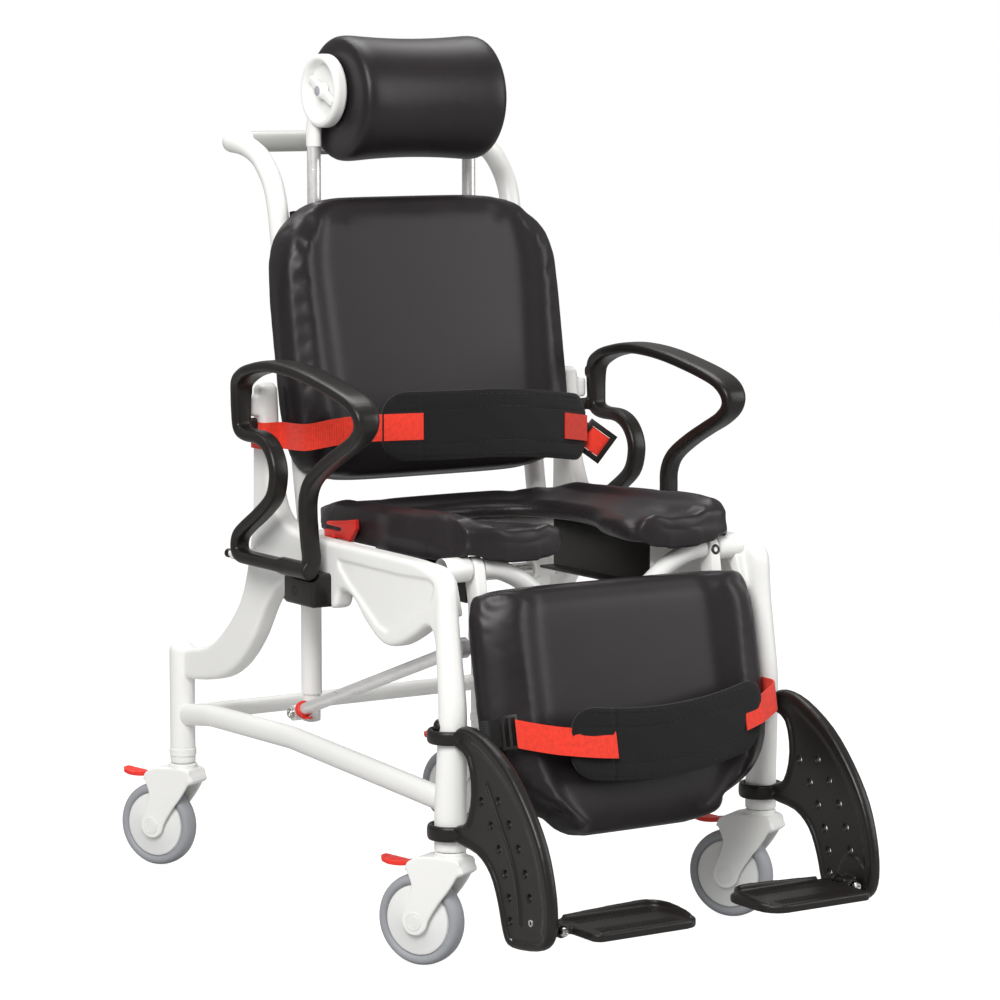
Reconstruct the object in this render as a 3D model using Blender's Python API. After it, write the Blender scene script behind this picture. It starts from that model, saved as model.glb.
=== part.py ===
"""Tilt shower commode chair as separate named pieces, in metres, +Z up, the sitter facing -Y."""
import math

import bmesh
import bpy
from mathutils import Matrix, Vector

for old in list(bpy.data.objects):
    bpy.data.objects.remove(old, do_unlink=True)

# Driving dimensions. X grows to the sitter's left, Y to the rear. Y_MID centres the chair on the origin.
GAP = 0.0003
Y_MID = -0.0215
WHEEL_R = 0.0625
WHEEL_HALF = 0.0155
CASTER_TRAIL = 0.045
CASTER_TURN = math.radians(27)
SEAT_HALF = 0.222
SEAT_SIDE_ROOM = 0.021
PLATE_IN = SEAT_HALF + SEAT_SIDE_ROOM
PLATE_T = 0.030
LEG_X = PLATE_IN + 0.015
LEG_Y = -0.250 + Y_MID
LEG_R = 0.0225
HOOD_LOW = 2 * WHEEL_R + 0.004
LEG_FOOT_Z = HOOD_LOW + 0.031
LEG_TOP_Z = 0.545
POST_X = PLATE_IN + 0.024
POST_Y = 0.490 + Y_MID
POST_R = 0.019
POST_TOP_Z = 0.345
RAIL_R = 0.0165
RAIL_FLAT = 0.0125
CROSS_R = 0.0125
AXLE_Y = -0.209 + Y_MID
AXLE_Z = 0.530
AXLE_R = 0.017
LINK_X = PLATE_IN - 0.0185
BACK_X = LINK_X - 0.0265
HANGER_IN = BACK_X - 0.012
HANGER_T = 0.016
HANGER_PIN_R = 0.009
HANGER_EYE_R = 0.0165
TURN_CLEAR = 0.0005
SEAT_Z = AXLE_Z + AXLE_R + GAP
SEAT_RIM = 0.045
BACK_Y = 0.222 + Y_MID
BACK_Z = 0.450
BACK_R = 0.0145
SHAFT_R = 0.011
LEVER_DROP = 0.178
LINK_R = 0.0090
LINK_PIN_R = 0.0055
LINK_PLAY = 0.0030
LOBE_Y = -0.2246 + Y_MID
LOBE_Z = 0.427
BACK_KNEE_Z = 0.500
BACK_TOP_Z = 1.008
BACK_LEAN = math.atan(0.174)
BAR_Y = 0.440 + Y_MID
BAR_Z = 1.0865
PAD_HALF = BACK_X + 0.035
PAD_T = 0.050
HEAD_TUBE_X = 0.133
HEAD_TUBE_Y = 0.319 + Y_MID
HEAD_TUBE_R = 0.010
HEAD_Y = 0.289 + Y_MID
HEAD_RISE = 0.144
HEAD_Z = BACK_TOP_Z + HEAD_RISE
HEAD_R = 0.0925
ROLL_AHEAD = 0.013
CUP_IN = 0.1225
CUP_T = 0.0212
CUP_R = 0.051
DISH_R = 0.040
DISH_T = 0.012
KNOB_SPIGOT_R = 0.006
ARM_X = PLATE_IN + 0.062
ARM_HALF = 0.013
ARM_PIN_Z = 0.5045
ARM_PIN_R = 0.0050
FOOT_X = LEG_X + 0.004
FOOT_T = 0.014
FOOT_PIN_X = FOOT_X - 0.024
FOOT_PIN_Z = 0.096
FOOT_PIN_R = 0.0050
SPRING_X = -(BACK_X - 0.030)
SPRING_DROP = math.radians(12)
SPRING_ARM = 0.054
SPRING_R = 0.0105
ROD_R = 0.0048
SPRING_PLAY = 0.0016

MATERIALS = {}


def material(name, colour, rough=0.5, metal=0.0):
    mat = bpy.data.materials.new(name)
    mat.use_nodes = True
    shader = mat.node_tree.nodes["Principled BSDF"]
    shader.inputs["Base Color"].default_value = (*colour, 1.0)
    shader.inputs["Roughness"].default_value = rough
    shader.inputs["Metallic"].default_value = metal
    MATERIALS[name] = mat


material("white_coat", (0.86, 0.85, 0.83), 0.35)
material("foam_skin", (0.045, 0.042, 0.045), 0.6)
material("black_moulding", (0.03, 0.028, 0.028), 0.45)
material("red_moulding", (0.62, 0.03, 0.03), 0.4)
material("red_web", (0.6, 0.02, 0.03), 0.8)
material("belt_fabric", (0.02, 0.02, 0.022), 0.9)
material("steel", (0.62, 0.62, 0.62), 0.25, 1.0)
material("grey_tread", (0.32, 0.32, 0.33), 0.7)


def make(name, bm, mat, origin=(0, 0, 0), hidden=False):
    """A named object from a bmesh in world coordinates, its origin moved to a joint axis."""
    bmesh.ops.recalc_face_normals(bm, faces=bm.faces[:])
    bmesh.ops.translate(bm, verts=bm.verts[:], vec=-Vector(origin))
    mesh = bpy.data.meshes.new(name)
    bm.to_mesh(mesh)
    bm.free()
    mesh.shade_smooth()
    mesh.set_sharp_from_angle(angle=math.radians(40))
    ob = bpy.data.objects.new(name, mesh)
    bpy.context.collection.objects.link(ob)
    ob.location = origin
    mesh.materials.append(MATERIALS[mat])
    if hidden:
        ob.hide_render = True
        ob.display_type = "WIRE"
    return ob


def boolean(ob, bm, operation="UNION"):
    """Joins a bmesh to an object, or cuts it out, with a Boolean modifier."""
    tool = make(ob.name + "_tool", bm, "white_coat", hidden=True)
    mod = ob.modifiers.new(operation.lower(), "BOOLEAN")
    mod.operation = operation
    mod.solver = "EXACT"
    mod.object = tool
    return ob


def soften(ob, width, segments=1, angle=45):
    mod = ob.modifiers.new("soften", "BEVEL")
    mod.width = width
    mod.segments = segments
    mod.limit_method = "ANGLE"
    mod.angle_limit = math.radians(angle)
    return ob


def new():
    return bmesh.new()


def loft(bm, rings, closed=False):
    """Skins rings of equal length. An open loft gets a cap at each end."""
    verts = [[bm.verts.new(p) for p in ring] for ring in rings]
    count = len(verts[0])
    spans = len(verts) if closed else len(verts) - 1
    for i in range(spans):
        a = verts[i]
        b = verts[(i + 1) % len(verts)]
        for j in range(count):
            k = (j + 1) % count
            bm.faces.new((a[j], a[k], b[k], b[j]))
    if not closed:
        bm.faces.new(verts[0])
        bm.faces.new(verts[-1])
    return bm


def fillet(points, radius, steps=4):
    """A polyline with its inner corners rounded."""
    pts = [Vector(p) for p in points]
    out = [pts[0]]
    for a, b, c in zip(pts, pts[1:], pts[2:]):
        u = (a - b).normalized()
        v = (c - b).normalized()
        angle = u.angle(v)
        if angle > math.radians(176):
            out.append(b)
            continue
        cut = min(radius / math.tan(angle / 2), 0.48 * (a - b).length, 0.48 * (c - b).length)
        p, q = b + u * cut, b + v * cut
        for i in range(steps + 1):
            t = i / steps
            out.append(p * (1 - t) ** 2 + b * 2 * t * (1 - t) + q * t ** 2)
    out.append(pts[-1])
    return out


def sweep(bm, path, half_a, half_b, sides=12, closed=False, normal=None, power=1.0):
    """Sweeps an oval section. half_a lies along the normal of the path's plane, half_b across it."""
    pts = [Vector(p) for p in path]
    count = len(pts)
    side = Vector(normal) if normal else None
    rings = []
    for i, p in enumerate(pts):
        before = pts[i - 1] if (i or closed) else p
        after = pts[(i + 1) % count] if (i < count - 1 or closed) else p
        tangent = (after - before).normalized()
        if side is None:
            side = Vector((0, 0, 1)) if abs(tangent.z) < 0.9 else Vector((1, 0, 0))
        across = (side - tangent * side.dot(tangent)).normalized()
        if not normal:
            side = across
        other = tangent.cross(across)
        ha = half_a[i] if isinstance(half_a, list) else half_a
        hb = half_b[i] if isinstance(half_b, list) else half_b
        ring = []
        for k in range(sides):
            t = 2 * math.pi * (k + 0.5) / sides
            c, s = math.cos(t), math.sin(t)
            c = math.copysign(abs(c) ** power, c)
            s = math.copysign(abs(s) ** power, s)
            ring.append(p + across * (ha * c) + other * (hb * s))
        rings.append(ring)
    return loft(bm, rings, closed)


def turn(bm, profile, centre, axis, sides=20, closed=False, step=0.5):
    """Turns a profile of (radius, height along the axis). A closed profile leaves a bore."""
    axis = Vector(axis).normalized()
    u = axis.orthogonal().normalized()
    if abs(axis.z) > 0.9:
        u = Vector((1, 0, 0))
    elif abs(axis.x) > 0.9:
        u = Vector((0, 0, 1))
    v = axis.cross(u)
    c = Vector(centre)
    rings = []
    for r, h in profile:
        ring = []
        for k in range(sides):
            t = 2 * math.pi * (k + step) / sides
            ring.append(c + axis * h + (u * math.cos(t) + v * math.sin(t)) * r)
        rings.append(ring)
    return loft(bm, rings, closed)


def rod(bm, a, b, r, sides=12):
    a, b = Vector(a), Vector(b)
    return turn(bm, [(r, 0), (r, (b - a).length)], a, b - a, sides)


def ring_of(bm, a, b, outer, inner, sides=16):
    """A tube with an open bore from a to b."""
    a, b = Vector(a), Vector(b)
    h = (b - a).length
    return turn(bm, [(inner, 0), (outer, 0), (outer, h), (inner, h)], a, b - a, sides, closed=True)


def box(bm, lo, hi):
    size = Vector(hi) - Vector(lo)
    mid = (Vector(hi) + Vector(lo)) / 2
    matrix = Matrix.Translation(mid) @ Matrix.Diagonal((*size, 1))
    bmesh.ops.create_cube(bm, size=1, matrix=matrix)
    return bm


def slab(bm, outline, x0, x1):
    """A prism along X from an outline of (y, z)."""
    return loft(bm, [[(x, y, z) for y, z in outline] for x in (x0, x1)])


def inset(outline, amount):
    """The outline moved inwards along the bisector at each corner."""
    pts = [Vector((a, b, 0)) for a, b in outline]
    area = sum(p.x * q.y - q.x * p.y for p, q in zip(pts, pts[1:] + pts[:1]))
    way = 1 if area > 0 else -1
    out = []
    for i, p in enumerate(pts):
        d0 = (p - pts[i - 1]).normalized()
        d1 = (pts[(i + 1) % len(pts)] - p).normalized()
        n0 = Vector((-d0.y, d0.x, 0)) * way
        n1 = Vector((-d1.y, d1.x, 0)) * way
        m = (n0 + n1).normalized()
        q = p + m * (amount / max(0.5, m.dot(n0)))
        out.append((q.x, q.y))
    return out


def soft_slab(bm, outline, x0, x1, edge):
    """A prism along X with a rounded rim."""
    thin = inset(outline, edge)
    layers = ((thin, x0), (outline, x0 + edge), (outline, x1 - edge), (thin, x1))
    return loft(bm, [[(x, y, z) for y, z in shape] for shape, x in layers])


def flip_x(bm):
    bmesh.ops.scale(bm, vec=(-1, 1, 1), verts=bm.verts[:])
    return bm


def sided(bm, s):
    """Pieces are drawn for the sitter's left and mirrored for the right."""
    return bm if s > 0 else flip_x(bm)


def shifted(outline):
    return [(y + Y_MID, z) for y, z in outline]


SIDES = (("right", -1), ("left", 1))

# Side frames: plate with armrest post and swept arm, round front leg and rear post, hinge lugs
FRAME_OUTLINE = [
    (-0.250, 0.530), (-0.222, 0.541), (-0.10, 0.543), (0.10, 0.545), (0.158, 0.552), (0.192, 0.570),
    (0.210, 0.602), (0.224, 0.650), (0.2305, 0.735), (0.236, 0.746), (0.2445, 0.750), (0.253, 0.746),
    (0.258, 0.735), (0.260, 0.62), (0.262, 0.56), (0.268, 0.525), (0.281, 0.475), (0.302, 0.430),
    (0.342, 0.388),
    (0.400, 0.350), (0.490, 0.330), (0.490, 0.292), (0.390, 0.300), (0.322, 0.326), (0.268, 0.372),
    (0.230, 0.424), (0.200, 0.456), (0.160, 0.476), (0.075, 0.482), (0.062, 0.456), (0.030, 0.452),
    (0.014, 0.478), (-0.020, 0.472), (-0.050, 0.446), (-0.085, 0.424), (-0.112, 0.418), (-0.140, 0.423),
    (-0.185, 0.446), (-0.216, 0.440), (-0.230, 0.400), (-0.234, 0.330), (-0.250, 0.300),
]
GUSSET = [(-0.046, 0.466), (-0.086, 0.439), (-0.112, 0.432), (-0.142, 0.440), (-0.196, 0.468),
          (-0.200, 0.486),
          (-0.060, 0.486)]
RAIL_Z = 0.233
ARM_FRONT_LUG = (0.012 + Y_MID, 0.0345 + Y_MID)
ARM_REAR_LUG = (0.2525 + Y_MID, 0.2700 + Y_MID)


def leg_bm(r, z0, z1):
    dome = [(r, z0), (r, z1 - 0.6 * r), (0.86 * r, z1 - 0.25 * r), (0.5 * r, z1)]
    return turn(new(), dome, (LEG_X, LEG_Y, 0), (0, 0, 1), 20)


def post_bm(r, z0, z1):
    dome = [(r, z0), (r, z1 - 0.6 * r), (0.86 * r, z1 - 0.25 * r), (0.5 * r, z1)]
    return turn(new(), dome, (POST_X, POST_Y, 0), (0, 0, 1), 20)


for label, s in SIDES:
    plate = soft_slab(new(), shifted(FRAME_OUTLINE), PLATE_IN, PLATE_IN + PLATE_T, 0.006)
    frame = make("side_frame_" + label, sided(plate, s), "white_coat")
    pocket = slab(new(), shifted(GUSSET), PLATE_IN + PLATE_T - 0.005, PLATE_IN + PLATE_T + 0.02)
    boolean(frame, sided(pocket, s), "DIFFERENCE")
    boolean(frame, sided(leg_bm(LEG_R, LEG_FOOT_Z, LEG_TOP_Z), s))
    boolean(frame, sided(post_bm(POST_R, LEG_FOOT_Z, POST_TOP_Z), s))
    block = box(new(), (PLATE_IN + 0.012, 0.2335 + Y_MID, 0.702), (ARM_X - 0.0160, 0.2535 + Y_MID, 0.732))
    boolean(frame, sided(block, s))
    for y0, y1 in (ARM_FRONT_LUG, ARM_REAR_LUG):
        lug = box(new(), (PLATE_IN + 0.010, y0, ARM_PIN_Z - 0.0148), (ARM_X + 0.011, y1, ARM_PIN_Z + 0.011))
        boolean(frame, sided(lug, s))
    front_pin = rod(new(), (ARM_X, ARM_FRONT_LUG[0] + 0.008, ARM_PIN_Z),
                    (ARM_X, ARM_FRONT_LUG[1] + 0.022, ARM_PIN_Z), ARM_PIN_R, 10)
    rear_pin = rod(new(), (ARM_X, ARM_REAR_LUG[0] - 0.014, ARM_PIN_Z),
                   (ARM_X, ARM_REAR_LUG[1] + 0.010, ARM_PIN_Z), ARM_PIN_R, 10)
    boolean(frame, sided(front_pin, s))
    boolean(frame, sided(rear_pin, s))

# Base rails, coped round the leg and the rear post
for label, s in SIDES:
    line = [(POST_X, POST_Y, RAIL_Z), (POST_X, POST_Y - 0.09, RAIL_Z + 0.012),
            (LEG_X + 0.002, LEG_Y + 0.42, RAIL_Z + 0.014),
            (LEG_X, LEG_Y, RAIL_Z - 0.008)]
    rail = make("base_rail_" + label, sided(sweep(new(), fillet(line, 0.10, 3), RAIL_FLAT, RAIL_R, 12,
                                                   normal=(1, 0, 0)), s), "white_coat")
    boolean(rail, sided(leg_bm(LEG_R + GAP, 0.1, 0.5), s), "DIFFERENCE")
    boolean(rail, sided(post_bm(POST_R + GAP, 0.1, 0.5), s), "DIFFERENCE")

cross = make("rear_cross_tube", rod(new(), (-POST_X, POST_Y + 0.004, RAIL_Z),
                                    (POST_X, POST_Y + 0.004, RAIL_Z), CROSS_R, 12),
             "white_coat")
for _, s in SIDES:
    boolean(cross, sided(post_bm(POST_R + GAP, 0.1, 0.5), s), "DIFFERENCE")
    keep_clear = sweep(new(), [(POST_X, POST_Y, RAIL_Z), (POST_X, POST_Y - 0.09, RAIL_Z + 0.012)],
                       RAIL_FLAT + GAP, RAIL_R + GAP, 12, normal=(1, 0, 0))
    boolean(cross, sided(keep_clear, s), "DIFFERENCE")

# Front cross tube: axle stubs at the side frames and a tube that dips under the seat opening
DIP_DROP = 0.062
bends = ((HANGER_IN - 0.006, 0.0), (HANGER_IN - 0.036, 0.006), (HANGER_IN - 0.091, DIP_DROP))
dip = [(-x, AXLE_Y, AXLE_Z - drop) for x, drop in bends]
dip += [(x, AXLE_Y, AXLE_Z - drop) for x, drop in reversed(bends)]
front = make("front_cross_tube", sweep(new(), fillet(dip, 0.05, 3), CROSS_R, CROSS_R, 10,
                                       normal=(0, 1, 0)), "white_coat")
for _, s in SIDES:
    shoulder = HANGER_IN + HANGER_T + 0.002
    stub = [(HANGER_PIN_R, HANGER_IN - 0.016), (HANGER_PIN_R, shoulder), (AXLE_R, shoulder),
            (AXLE_R, PLATE_IN - GAP)]
    boolean(front, sided(turn(new(), stub, (0, AXLE_Y, AXLE_Z), (1, 0, 0), 16), s))

make("back_pivot_shaft", rod(new(), (-PLATE_IN + GAP, BACK_Y, BACK_Z), (PLATE_IN - GAP, BACK_Y, BACK_Z),
                             SHAFT_R, 14), "steel")
SEAT_TUBE_R = 0.011
SEAT_TUBE_Y = 0.140 + Y_MID
seat_tube_z = SEAT_Z - GAP - SEAT_TUBE_R
make("rear_seat_tube", rod(new(), (-PLATE_IN + GAP, SEAT_TUBE_Y, seat_tube_z),
                           (PLATE_IN - GAP, SEAT_TUBE_Y, seat_tube_z),
                           SEAT_TUBE_R, 12), "white_coat")

# Seat pad: a horseshoe with a raised rim, a dished top and a rounded front opening
SEAT_OUT = [(0.068, -0.231), (0.098, -0.237), (0.140, -0.2385), (0.184, -0.237), (0.211, -0.227),
            (0.2195, -0.198),
            (0.221, -0.12), (0.222, -0.03), (0.222, 0.06), (0.219, 0.124), (0.205, 0.162), (0.170, 0.186),
            (0.110, 0.194), (0.05, 0.196)]
SEAT_INN = [(0.054, -0.209), (0.054, -0.187), (0.056, -0.163), (0.060, -0.139), (0.066, -0.118),
            (0.080, -0.095),
            (0.094, -0.066), (0.103, -0.030), (0.105, 0.010), (0.101, 0.044), (0.090, 0.074),
            (0.071, 0.097),
            (0.046, 0.110), (0.022, 0.116)]
SEAT_CUT = ((0.0, 0.004), (0.035, 0.020), (0.02, 0.036), (0.10, 0.0445), (0.24, 0.0425), (0.45, 0.033),
            (0.68, 0.029),
            (0.86, 0.029), (0.985, 0.024), (1.0, 0.012), (0.96, 0.002), (0.80, 0.0), (0.22, 0.0),
            (0.06, 0.0))
wide = SEAT_HALF / 0.222
half = [((o[0] * wide, o[1]), (n[0] * wide, n[1])) for o, n in zip(SEAT_OUT, SEAT_INN)]
whole = [((-a[0], a[1]), (-b[0], b[1])) for a, b in half] + [(a, b) for a, b in reversed(half)]
rings = []
for i, (o, n) in enumerate(whole):
    near_tip = min(i, len(whole) - 1 - i)
    tall = {0: 0.72, 1: 0.92}.get(near_tip, 1.0)
    ring = []
    for t, h in SEAT_CUT:
        y = o[1] + (n[1] - o[1]) * t
        slope = 1 - 0.30 * min(1, max(0, (y + 0.16) / 0.33))
        ring.append((o[0] + (n[0] - o[0]) * t, y + Y_MID, SEAT_Z + h * tall * slope * SEAT_RIM / 0.045))
    rings.append(ring)
seat = make("seat_pad", loft(new(), rings), "foam_skin")

# Pan rails under the seat: a web with a top flange and an inward ledge
RAIL_WEB = HANGER_IN - 0.036
RAIL_LEDGE = RAIL_WEB - 0.024
RAIL_DROP = 0.078
RAIL_Y = (-0.125 + Y_MID, 0.115 + Y_MID)
top = SEAT_Z - GAP
for label, s in SIDES:
    shape = [(RAIL_WEB + 0.004, top - RAIL_DROP), (RAIL_WEB + 0.004, top - 0.004),
             (RAIL_WEB + 0.022, top - 0.004),
             (RAIL_WEB + 0.022, top), (RAIL_WEB, top), (RAIL_WEB, top - RAIL_DROP + 0.004),
             (RAIL_LEDGE, top - RAIL_DROP + 0.004), (RAIL_LEDGE, top - RAIL_DROP)]
    bm = loft(new(), [[(x, y, z) for x, z in shape] for y in RAIL_Y])
    make("pan_rail_" + label, sided(bm, s), "black_moulding")

# Seat latches on the pad's sides
LATCH_Y = 0.098 + Y_MID
LATCH_Z = 0.540
LATCH = [(0.027, -0.0058), (0.027, 0.004), (-0.0185, 0.005), (-0.0205, 0.010), (0.020, 0.011),
         (0.020, 0.016), (-0.021, 0.0204), (-0.0577, 0.026), (-0.059, 0.0125), (-0.043, -0.007),
         (-0.0255, -0.0055)]
for label, s in SIDES:
    outline = [(LATCH_Y + a, LATCH_Z + 0.006 + b) for a, b in LATCH]
    latch = make("seat_latch_" + label, sided(slab(new(), outline, SEAT_HALF + 0.0025,
                                                   SEAT_HALF + 0.0105), s),
                 "red_moulding", (s * (SEAT_HALF + 0.006), LATCH_Y, LATCH_Z))
    stud = rod(new(), (SEAT_HALF + 0.006, LATCH_Y, LATCH_Z), (PLATE_IN - GAP, LATCH_Y, LATCH_Z), 0.004, 8)
    boolean(latch, sided(stud, s))

# Casters
FORK_ARM = [(-0.022, HOOD_LOW + 0.021), (-0.018, HOOD_LOW - 0.001)]
FORK_ARM += [(y, WHEEL_R + z) for y, z in (
    (-0.004, 0.0425), (0.013, 0.0195), (0.021, -0.0005), (0.028, -0.0145), (0.040, -0.0225),
    (0.054, -0.0205), (0.065, -0.0085), (0.067, 0.0055), (0.060, 0.0215), (0.052, 0.0475))]
FORK_ARM += [(0.052, HOOD_LOW + 0.021)]
ARM_IN = 0.0170
ARM_T = 0.0055
PIN_R = 0.0060
PEDAL_Y = 0.058
PEDAL_Z = HOOD_LOW + 0.0095


def to_caster(bm, x, y):
    """Moves a piece drawn round a swivel at the origin to its place, turned with the trail."""
    spot = Matrix.Translation((x, y, 0)) @ Matrix.Rotation(CASTER_TURN, 4, "Z")
    bmesh.ops.transform(bm, matrix=spot, verts=bm.verts[:])
    return bm


CORNERS = (("front_right", -LEG_X, LEG_Y), ("front_left", LEG_X, LEG_Y),
           ("rear_right", -POST_X, POST_Y), ("rear_left", POST_X, POST_Y))
for label, x, y in CORNERS:
    hub = Vector((x, y, 0)) + Matrix.Rotation(CASTER_TURN, 3, "Z") @ Vector((0, CASTER_TRAIL, WHEEL_R))
    outer = ARM_IN + ARM_T
    hood_top = LEG_FOOT_Z - GAP - 0.006
    hood = [(-0.026, HOOD_LOW), (-0.026, hood_top - 0.008), (-0.018, hood_top), (0.030, hood_top),
            (0.048, hood_top - 0.010), (0.050, HOOD_LOW)]
    fork = make("caster_fork_" + label, to_caster(slab(new(), hood, -outer, outer), x, y), "white_coat",
                (x, y, LEG_FOOT_Z))
    for s in (-1, 1):
        arm = slab(new(), FORK_ARM, s * ARM_IN, s * (outer + 0.0006))
        boolean(fork, to_caster(arm, x, y))
        ear = box(new(), (s * 0.0125 - 0.0035, 0.040, PEDAL_Z - 0.008),
                  (s * 0.0125 + 0.0035, PEDAL_Y + 0.006, PEDAL_Z + 0.006))
        boolean(fork, to_caster(ear, x, y))
    boolean(fork, to_caster(turn(new(), [(0.0205, hood_top - 0.004), (0.0205, hood_top + 0.006)],
                                 (0, 0, 0), (0, 0, 1), 14), x, y))
    boolean(fork, to_caster(rod(new(), (-outer - 0.002, CASTER_TRAIL, WHEEL_R),
                                (outer + 0.002, CASTER_TRAIL, WHEEL_R), PIN_R, 12), x, y))
    boolean(fork, to_caster(rod(new(), (-0.03, PEDAL_Y, PEDAL_Z), (0.03, PEDAL_Y, PEDAL_Z), 0.0034, 8), x,
                            y), "DIFFERENCE")
    bore = PIN_R + TURN_CLEAR
    tread = [(bore, -WHEEL_HALF), (0.016, -WHEEL_HALF), (WHEEL_R - 0.0165, -0.0125),
             (WHEEL_R - 0.0075, -0.0145), (WHEEL_R - 0.002, -0.0110), (WHEEL_R, -0.004)]
    profile = tread + [(r, -h) for r, h in reversed(tread)]
    wheel = turn(new(), profile, (0, CASTER_TRAIL, WHEEL_R), (1, 0, 0), 20, closed=True, step=0)
    make("caster_wheel_" + label, to_caster(wheel, x, y), "grey_tread", hub)
    pivot = Vector((x, y, 0)) + Matrix.Rotation(CASTER_TURN, 3, "Z") @ Vector((0, PEDAL_Y, PEDAL_Z))
    tongue = [(PEDAL_Y - 0.003, PEDAL_Z - 0.0035), (PEDAL_Y - 0.003, PEDAL_Z + 0.0040),
              (PEDAL_Y + 0.030, PEDAL_Z + 0.0020),
              (PEDAL_Y + 0.046, PEDAL_Z + 0.0055), (PEDAL_Y + 0.048, PEDAL_Z + 0.0005),
              (PEDAL_Y + 0.028, PEDAL_Z - 0.0050)]
    pedal = make("brake_pedal_" + label, to_caster(slab(new(), tongue, -0.0085, 0.0085), x, y),
                 "red_moulding", pivot)
    boolean(pedal, to_caster(rod(new(), (-0.0155, PEDAL_Y, PEDAL_Z), (0.0155, PEDAL_Y, PEDAL_Z), 0.0029,
                                 8), x, y))

# Back: bent uprights that end below the pivot as levers
LEAN = Vector((0, math.sin(BACK_LEAN), math.cos(BACK_LEAN)))
OUT = Vector((0, -math.cos(BACK_LEAN), math.sin(BACK_LEAN)))
KNEE = Vector((0, BACK_Y, BACK_KNEE_Z))
UP_TOP = KNEE + LEAN * ((BACK_TOP_Z - BACK_KNEE_Z) / LEAN.z)
LEVER_Z = BACK_Z - LEVER_DROP
SPRING_PIN = Vector((0, BACK_Y - SPRING_ARM * math.sin(SPRING_DROP),
                     BACK_Z + SPRING_ARM * math.cos(SPRING_DROP)))
for label, s in SIDES:
    line = [(BACK_X, BACK_Y, LEVER_Z - 0.016), (BACK_X, BACK_Y, BACK_KNEE_Z), (BACK_X, UP_TOP.y, UP_TOP.z)]
    up = make("back_upright_" + label, sided(sweep(new(), fillet(line, 0.12, 4), BACK_R, BACK_R, 12,
                                                   normal=(1, 0, 0)), s),
              "white_coat", (0, BACK_Y, BACK_Z))
    boolean(up, sided(rod(new(), (BACK_X - 0.017, BACK_Y, BACK_Z), (BACK_X + 0.017, BACK_Y, BACK_Z),
                          SHAFT_R + 0.006, 14), s))
    bore = rod(new(), (BACK_X - 0.05, BACK_Y, BACK_Z), (BACK_X + 0.05, BACK_Y, BACK_Z),
               SHAFT_R + TURN_CLEAR, 14)
    boolean(up, sided(bore, s), "DIFFERENCE")
    boolean(up, sided(rod(new(), (BACK_X, BACK_Y, LEVER_Z), (LINK_X + 0.0095, BACK_Y, LEVER_Z),
                          LINK_PIN_R, 10), s))
    if s * SPRING_X > 0:
        pin = rod(new(), (abs(SPRING_X) - 0.012, SPRING_PIN.y, SPRING_PIN.z),
                  (BACK_X - 0.002, SPRING_PIN.y, SPRING_PIN.z), 0.005, 10)
        boolean(up, sided(pin, s))

# Push bar: plugs on to the uprights, sweeps back and across, and carries the release lever's lugs
run = []
for s in (-1, 1):
    start = Vector((s * BACK_X, UP_TOP.y, UP_TOP.z)) + LEAN * GAP
    run.append([start, start + LEAN * 0.076, Vector((s * (BACK_X + 0.006), BAR_Y, BAR_Z))])
line = run[0] + list(reversed(run[1]))
push = make("push_bar", sweep(new(), fillet(line, 0.055, 4), BACK_R, BACK_R, 12), "white_coat")
LUG_X = 0.046
HANDLE_Y = BAR_Y + BACK_R + 0.0065
HANDLE_Z = BAR_Z - 0.008
for s in (-1, 1):
    lug = box(new(), (s * LUG_X - 0.004, BAR_Y + 0.004, HANDLE_Z - 0.007),
              (s * LUG_X + 0.004, HANDLE_Y + 0.008, HANDLE_Z + 0.008))
    boolean(push, lug)
boolean(push, rod(new(), (-0.06, HANDLE_Y, HANDLE_Z), (0.06, HANDLE_Y, HANDLE_Z), 0.0039, 8), "DIFFERENCE")
paddle = [(HANDLE_Y - 0.004, HANDLE_Z - 0.004), (HANDLE_Y - 0.004, HANDLE_Z + 0.004),
          (HANDLE_Y + 0.004, HANDLE_Z + 0.004),
          (HANDLE_Y + 0.036, HANDLE_Z - 0.008), (HANDLE_Y + 0.034, HANDLE_Z - 0.014),
          (HANDLE_Y + 0.006, HANDLE_Z - 0.005)]
lever = make("release_lever", slab(new(), paddle, -LUG_X + 0.0045, LUG_X - 0.0045), "black_moulding",
             (0, HANDLE_Y, HANDLE_Z))
boolean(lever, rod(new(), (-LUG_X - 0.006, HANDLE_Y, HANDLE_Z), (LUG_X + 0.006, HANDLE_Y, HANDLE_Z),
                   0.0034, 8))


def on_back(x, up, out):
    """A point on the leaning back: across, up the lean from the knee, and out towards the sitter."""
    p = KNEE + LEAN * up + OUT * out
    return Vector((x, p.y, p.z))


# Back panel with the two sockets of the headrest tubes
SOCKET_Z = (0.925, 0.985)
panel_out = BACK_R * math.cos(math.pi / 12)
PANEL_T = 0.010
PANEL_HALF = BACK_X - panel_out - GAP
bm = new()
ends = []
for up in (0.14, 0.495):
    corners = ((-PANEL_HALF, panel_out - PANEL_T), (PANEL_HALF, panel_out - PANEL_T),
               (PANEL_HALF, panel_out), (-PANEL_HALF, panel_out))
    ends.append([on_back(x, up, out) for x, out in corners])
panel = make("back_panel", loft(bm, ends), "black_moulding")
for s in (-1, 1):
    y_wall = on_back(0, 0.492, panel_out - 0.004).y
    socket = box(new(), (s * HEAD_TUBE_X - 0.016, y_wall, SOCKET_Z[0]),
                 (s * HEAD_TUBE_X + 0.016, HEAD_TUBE_Y + 0.016, SOCKET_Z[1]))
    boolean(panel, socket)
    boolean(panel, rod(new(), (s * HEAD_TUBE_X, HEAD_TUBE_Y, 0.85), (s * HEAD_TUBE_X, HEAD_TUBE_Y, 1.1),
                       HEAD_TUBE_R + GAP, 14),
            "DIFFERENCE")


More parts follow.
